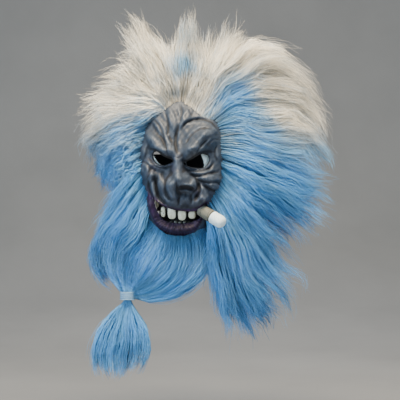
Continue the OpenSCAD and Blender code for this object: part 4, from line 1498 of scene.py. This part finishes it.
# the mane: where each lock's hair flows, x and z from the point between the eyes
maneLocks = {
    "crown_spike": dict(slot="hair_white", hairs=1150, clumps=34, pull=0.6, shortest=0.5, flow=4, frizz=3,
                        dim=0.72, guides=[
        [(-16, 84), (-22, 118), (-20, 152), (-12, 196)],
        [(-8, 89), (-10, 130), (-3, 176), (5, 226), (9, 256)],
        [(0, 91), (4, 134), (9, 186), (13, 238), (14, 276)],
        [(10, 86), (19, 126), (23, 172), (20, 222), (17, 258)],
        [(20, 79), (33, 112), (40, 150), (38, 196)]]),
    "crown_left_lock": dict(slot="hair_white", hairs=950, flow=7, guides=[
        [(-20, 80), (-42, 108), (-66, 146), (-96, 186)],
        [(-16, 84), (-36, 118), (-58, 168), (-84, 214), (-108, 244)],
        [(-10, 88), (-26, 126), (-44, 176), (-64, 218), (-90, 250)],
        [(-4, 91), (-14, 132), (-26, 178), (-36, 218)]]),
    "crown_right_spike": dict(slot="hair_white", hairs=850, flow=7, guides=[
        [(30, 70), (56, 112), (78, 160), (106, 210)],
        [(26, 73), (46, 116), (66, 170), (86, 218), (100, 246)],
        [(20, 78), (36, 122), (50, 174), (64, 216), (74, 238)],
        [(12, 84), (26, 126), (34, 174), (42, 214)]]),
    "crown_right_lock": dict(slot="hair_white", flow=7, guides=[
        [(44, 60), (70, 110), (104, 148), (152, 158)],
        [(38, 64), (62, 118), (92, 166), (136, 184)],
        [(30, 69), (52, 120), (78, 172), (118, 207)],
        [(24, 74), (42, 122), (64, 174), (98, 214)]]),
    "left_mane_top": dict(slot="hair_white", frizz=6, guides=[
        [(-5, 92), (-24, 130), (-54, 168), (-100, 172)],
        [(-10, 89), (-38, 124), (-74, 160), (-122, 160)],
        [(-16, 85), (-50, 114), (-90, 146), (-140, 142)],
        [(-22, 80), (-58, 102), (-100, 128), (-150, 120)]]),
    "left_mane_upper": dict(slot="hair_white", frizz=6, guides=[
        [(-9, 90), (-58, 108), (-110, 120), (-158, 108)],
        [(-16, 85), (-68, 98), (-118, 100), (-164, 78)],
        [(-24, 78), (-76, 88), (-122, 80), (-160, 50)],
        [(-32, 71), (-82, 76), (-124, 60), (-154, 26)]]),
    "left_mane_middle": dict(slot="hair_pale", points=15, wave=1.8, waveLength=26, hairs=1150, guides=[
        [(-13, 88), (-56, 78), (-98, 66), (-134, 44), (-156, 12)],
        [(-24, 79), (-64, 64), (-104, 50), (-134, 26), (-150, -6)],
        [(-36, 69), (-74, 51), (-106, 36), (-130, 8), (-142, -22)],
        [(-47, 57), (-78, 42), (-104, 22), (-122, -6), (-130, -34)]]),
    "left_mane_lower": dict(slot="hair_pale", points=18, wave=2.6, waveLength=21, clumps=34, pull=0.6,
                            flow=7, guides=[
        [(-53, 46), (-84, 33), (-112, 8), (-128, -22), (-136, -48)],
        [(-57, 29), (-84, 14), (-106, -12), (-118, -40), (-124, -62)],
        [(-59, 12), (-82, -6), (-98, -32), (-107, -56), (-112, -76)],
        [(-59, -6), (-78, -24), (-90, -48), (-98, -68), (-102, -86)]]),
    "left_whiskers": dict(slot="hair_blue", guides=[
        [(-60, -16), (-84, -46), (-112, -76), (-134, -104), (-143, -130)],
        [(-57, -31), (-80, -62), (-106, -92), (-128, -122), (-137, -152)],
        [(-52, -46), (-72, -80), (-94, -110), (-112, -140), (-122, -166)],
        [(-48, -64), (-62, -96), (-78, -126), (-94, -152), (-104, -176)]]),
    "right_mane_upper": dict(slot="hair_white", hairs=1150, flow=13, frizz=6, guides=[
        [(20, 79), (58, 130), (112, 164), (168, 156), (198, 134)],
        [(27, 73), (74, 124), (134, 150), (188, 140), (218, 112)],
        [(34, 67), (84, 112), (146, 134), (200, 122), (234, 86)],
        [(42, 61), (90, 98), (152, 114), (208, 100), (240, 62)]]),
    "right_mane_middle": dict(slot="hair_pale", hairs=1300, points=14, flow=13, frizz=6, guides=[
        [(36, 66), (74, 110), (112, 118), (168, 104), (226, 76), (247, 48)],
        [(45, 60), (82, 94), (126, 94), (184, 88), (236, 60), (249, 28)],
        [(53, 55), (92, 74), (136, 68), (188, 62), (232, 30), (243, -6)],
        [(59, 46), (96, 54), (140, 42), (186, 36), (222, 8), (232, -24)]]),
    "right_mane_low": dict(slot="hair_pale", hairs=1300, flow=13, frizz=6, guides=[
        [(62, 38), (104, 44), (150, 22), (196, 14), (240, -2)],
        [(62, 25), (102, 24), (150, -2), (196, -14), (240, -32)],
        [(62, 11), (98, 4), (144, -22), (190, -38), (234, -60)],
        [(63, -2), (94, -14), (134, -40), (182, -60), (228, -84)]]),
    "right_wisp": dict(slot="hair_blue", hairs=620, clumps=24, guides=[
        [(64, -6), (118, -30), (170, -50), (216, -66), (242, -84)],
        [(64, -12), (112, -38), (176, -66), (224, -88), (247, -112)],
        [(64, -18), (108, -46), (160, -76), (200, -106), (216, -130)]]),
    "right_side_lock": dict(slot="hair_blue", hairs=1100, flow=12, frizz=5.5, guides=[
        [(64, -18), (92, -50), (130, -76), (174, -92), (206, -114)],
        [(64, -26), (90, -62), (130, -92), (172, -118), (200, -150)],
        [(61, -36), (90, -76), (128, -112), (166, -146), (190, -182)],
        [(56, -44), (86, -88), (122, -130), (156, -168), (180, -206)]]),
    "right_hanging_lock": dict(slot="hair_blue", hairs=1150, flow=12, frizz=5.5, guides=[
        [(59, -40), (100, -96), (142, -150), (172, -200), (182, -240)],
        [(55, -47), (94, -110), (132, -170), (162, -226), (174, -264)],
        [(51, -54), (88, -120), (118, -184), (144, -240), (158, -280)],
        [(48, -60), (80, -124), (104, -190), (126, -246), (142, -286)]]),
    "right_lower_lock": dict(slot="hair_blue", hairs=1100, guides=[
        [(50, -56), (82, -118), (108, -184), (132, -246), (150, -290)],
        [(46, -62), (74, -124), (96, -192), (116, -252), (138, -306)],
        [(43, -68), (65, -128), (82, -196), (98, -254), (118, -300)],
        [(42, -75), (57, -132), (71, -198), (82, -246), (96, -284)]]),
    "right_inner_lock": dict(slot="hair_blue", hairs=800, clumps=26, flow=6, guides=[
        [(45, -68), (62, -126), (74, -190), (84, -246), (92, -308)],
        [(42, -76), (54, -134), (62, -196), (71, -248), (85, -308)],
        [(41, -84), (48, -136), (52, -180), (58, -230)]]),
}

for seed, (name, lock) in enumerate(maneLocks.items()):
    lock = dict(lock)
    guides = lock.pop("guides")
    slot = lock.pop("slot")
    piece = growLock(name, guides, slot, 100 + seed, **lock)
    seat(piece, "mask", slot, name)
print("mane grown")

outerLock = growLock("left_outer_lock", [
    [(-98, -52, -76), (-126, -32, -104), (-142, -24, -140), (-140, -22, -170), (-126, -22, -198),
     (-102, -26, -214)],
    [(-88, -46, -84), (-110, -30, -110), (-122, -24, -140), (-122, -22, -168), (-114, -22, -188),
     (-102, -24, -208)]],
    "hair_blue", 131, depth=(8, 9, 5), hairs=560, clumps=20, frizz=3.0, shortest=0.75, flow=3, overlap=0.1)
seat(outerLock, "mask", "hair_blue", "left_outer_lock")


# the beard: x, y and z of where it flows; it is rooted on the chin and gathered in the tie
beardLocks = {
    "beard_left": dict(hairs=1250, clumps=34, guides=[
        [(-50, -60, -52), (-88, -50, -88), (-114, -50, -132), (-113, -56, -176), (-92, -60, -210)],
        [(-48, -66, -74), (-76, -60, -108), (-94, -58, -150), (-94, -59, -184), (-87, -61, -211)],
        [(-40, -74, -94), (-57, -66, -124), (-72, -61, -152), (-79, -60, -186), (-82, -61, -211)],
        [(-31, -80, -109), (-40, -70, -130), (-53, -63, -156), (-68, -61, -186), (-80, -61, -211)]]),
    "beard_middle": dict(hairs=1050, clumps=30, guides=[
        [(-33, -80, -107), (-44, -71, -132), (-57, -65, -160), (-71, -61, -188), (-82, -61, -211)],
        [(-22, -84, -115), (-28, -74, -140), (-40, -66, -168), (-63, -62, -192), (-81, -61, -211)],
        [(-8, -84, -118), (-12, -74, -146), (-28, -67, -174), (-58, -62, -197), (-79, -61, -211)]]),
    "beard_right": dict(hairs=1350, clumps=36, guides=[
        [(-12, -84, -118), (-14, -74, -146), (-26, -67, -174), (-54, -62, -200), (-79, -61, -211)],
        [(8, -82, -118), (10, -74, -146), (0, -67, -176), (-34, -62, -204), (-78, -61, -212)],
        [(23, -77, -110), (33, -68, -138), (25, -63, -176), (-12, -61, -208), (-52, -61, -219),
         (-78, -61, -213)],
        [(37, -68, -88), (50, -61, -120), (44, -60, -160), (7, -60, -206), (-44, -61, -222),
         (-78, -61, -214)]]),
}

beardStyle = {"depth": (3, 15, 7), "pull": 0.3, "wave": 0.9, "frizz": 2.4, "shortest": 0.94, "flow": 3.5,
              "pinned": True, "overlap": 0.06}

# each beard lock is grown, its placing baked into its points, and its plain node hidden
for seed, (name, lock) in enumerate(beardLocks.items()):
    lock = dict(lock)
    guides = lock.pop("guides")
    piece = growLock(name, guides, "hair_blue", 140 + seed, **beardStyle, **lock)
    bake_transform(piece)
    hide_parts(name)

tail = growLock("beard_tail", [
    [(-85, -61, -216.5), (-90, -61, -224), (-107, -61, -240), (-127, -61, -268), (-134, -61, -302),
     (-122, -61, -338)],
    [(-84, -61, -216.5), (-87, -61, -224), (-96, -61, -243), (-108, -61, -278), (-112, -61, -317),
     (-106, -61, -349)],
    [(-82, -61, -216.5), (-82, -61, -224), (-83, -61, -243), (-85, -61, -280), (-88, -61, -321),
     (-92, -61, -354)],
    [(-80.5, -61, -216.5), (-78, -61, -224), (-69, -61, -240), (-57, -61, -266), (-53, -61, -299),
     (-66, -61, -336)]],
    "hair_blue", 150, depth=(3, 14, 10), hairs=1250, clumps=40, pull=0.2, wave=1.0, frizz=2.6, shortest=0.84,
    flow=3.5, overlap=0.03)
seat(tail, "tail", "hair_blue", "beard_tail")
bpy.data.objects.remove(hairSection)
print("beard and tail grown")
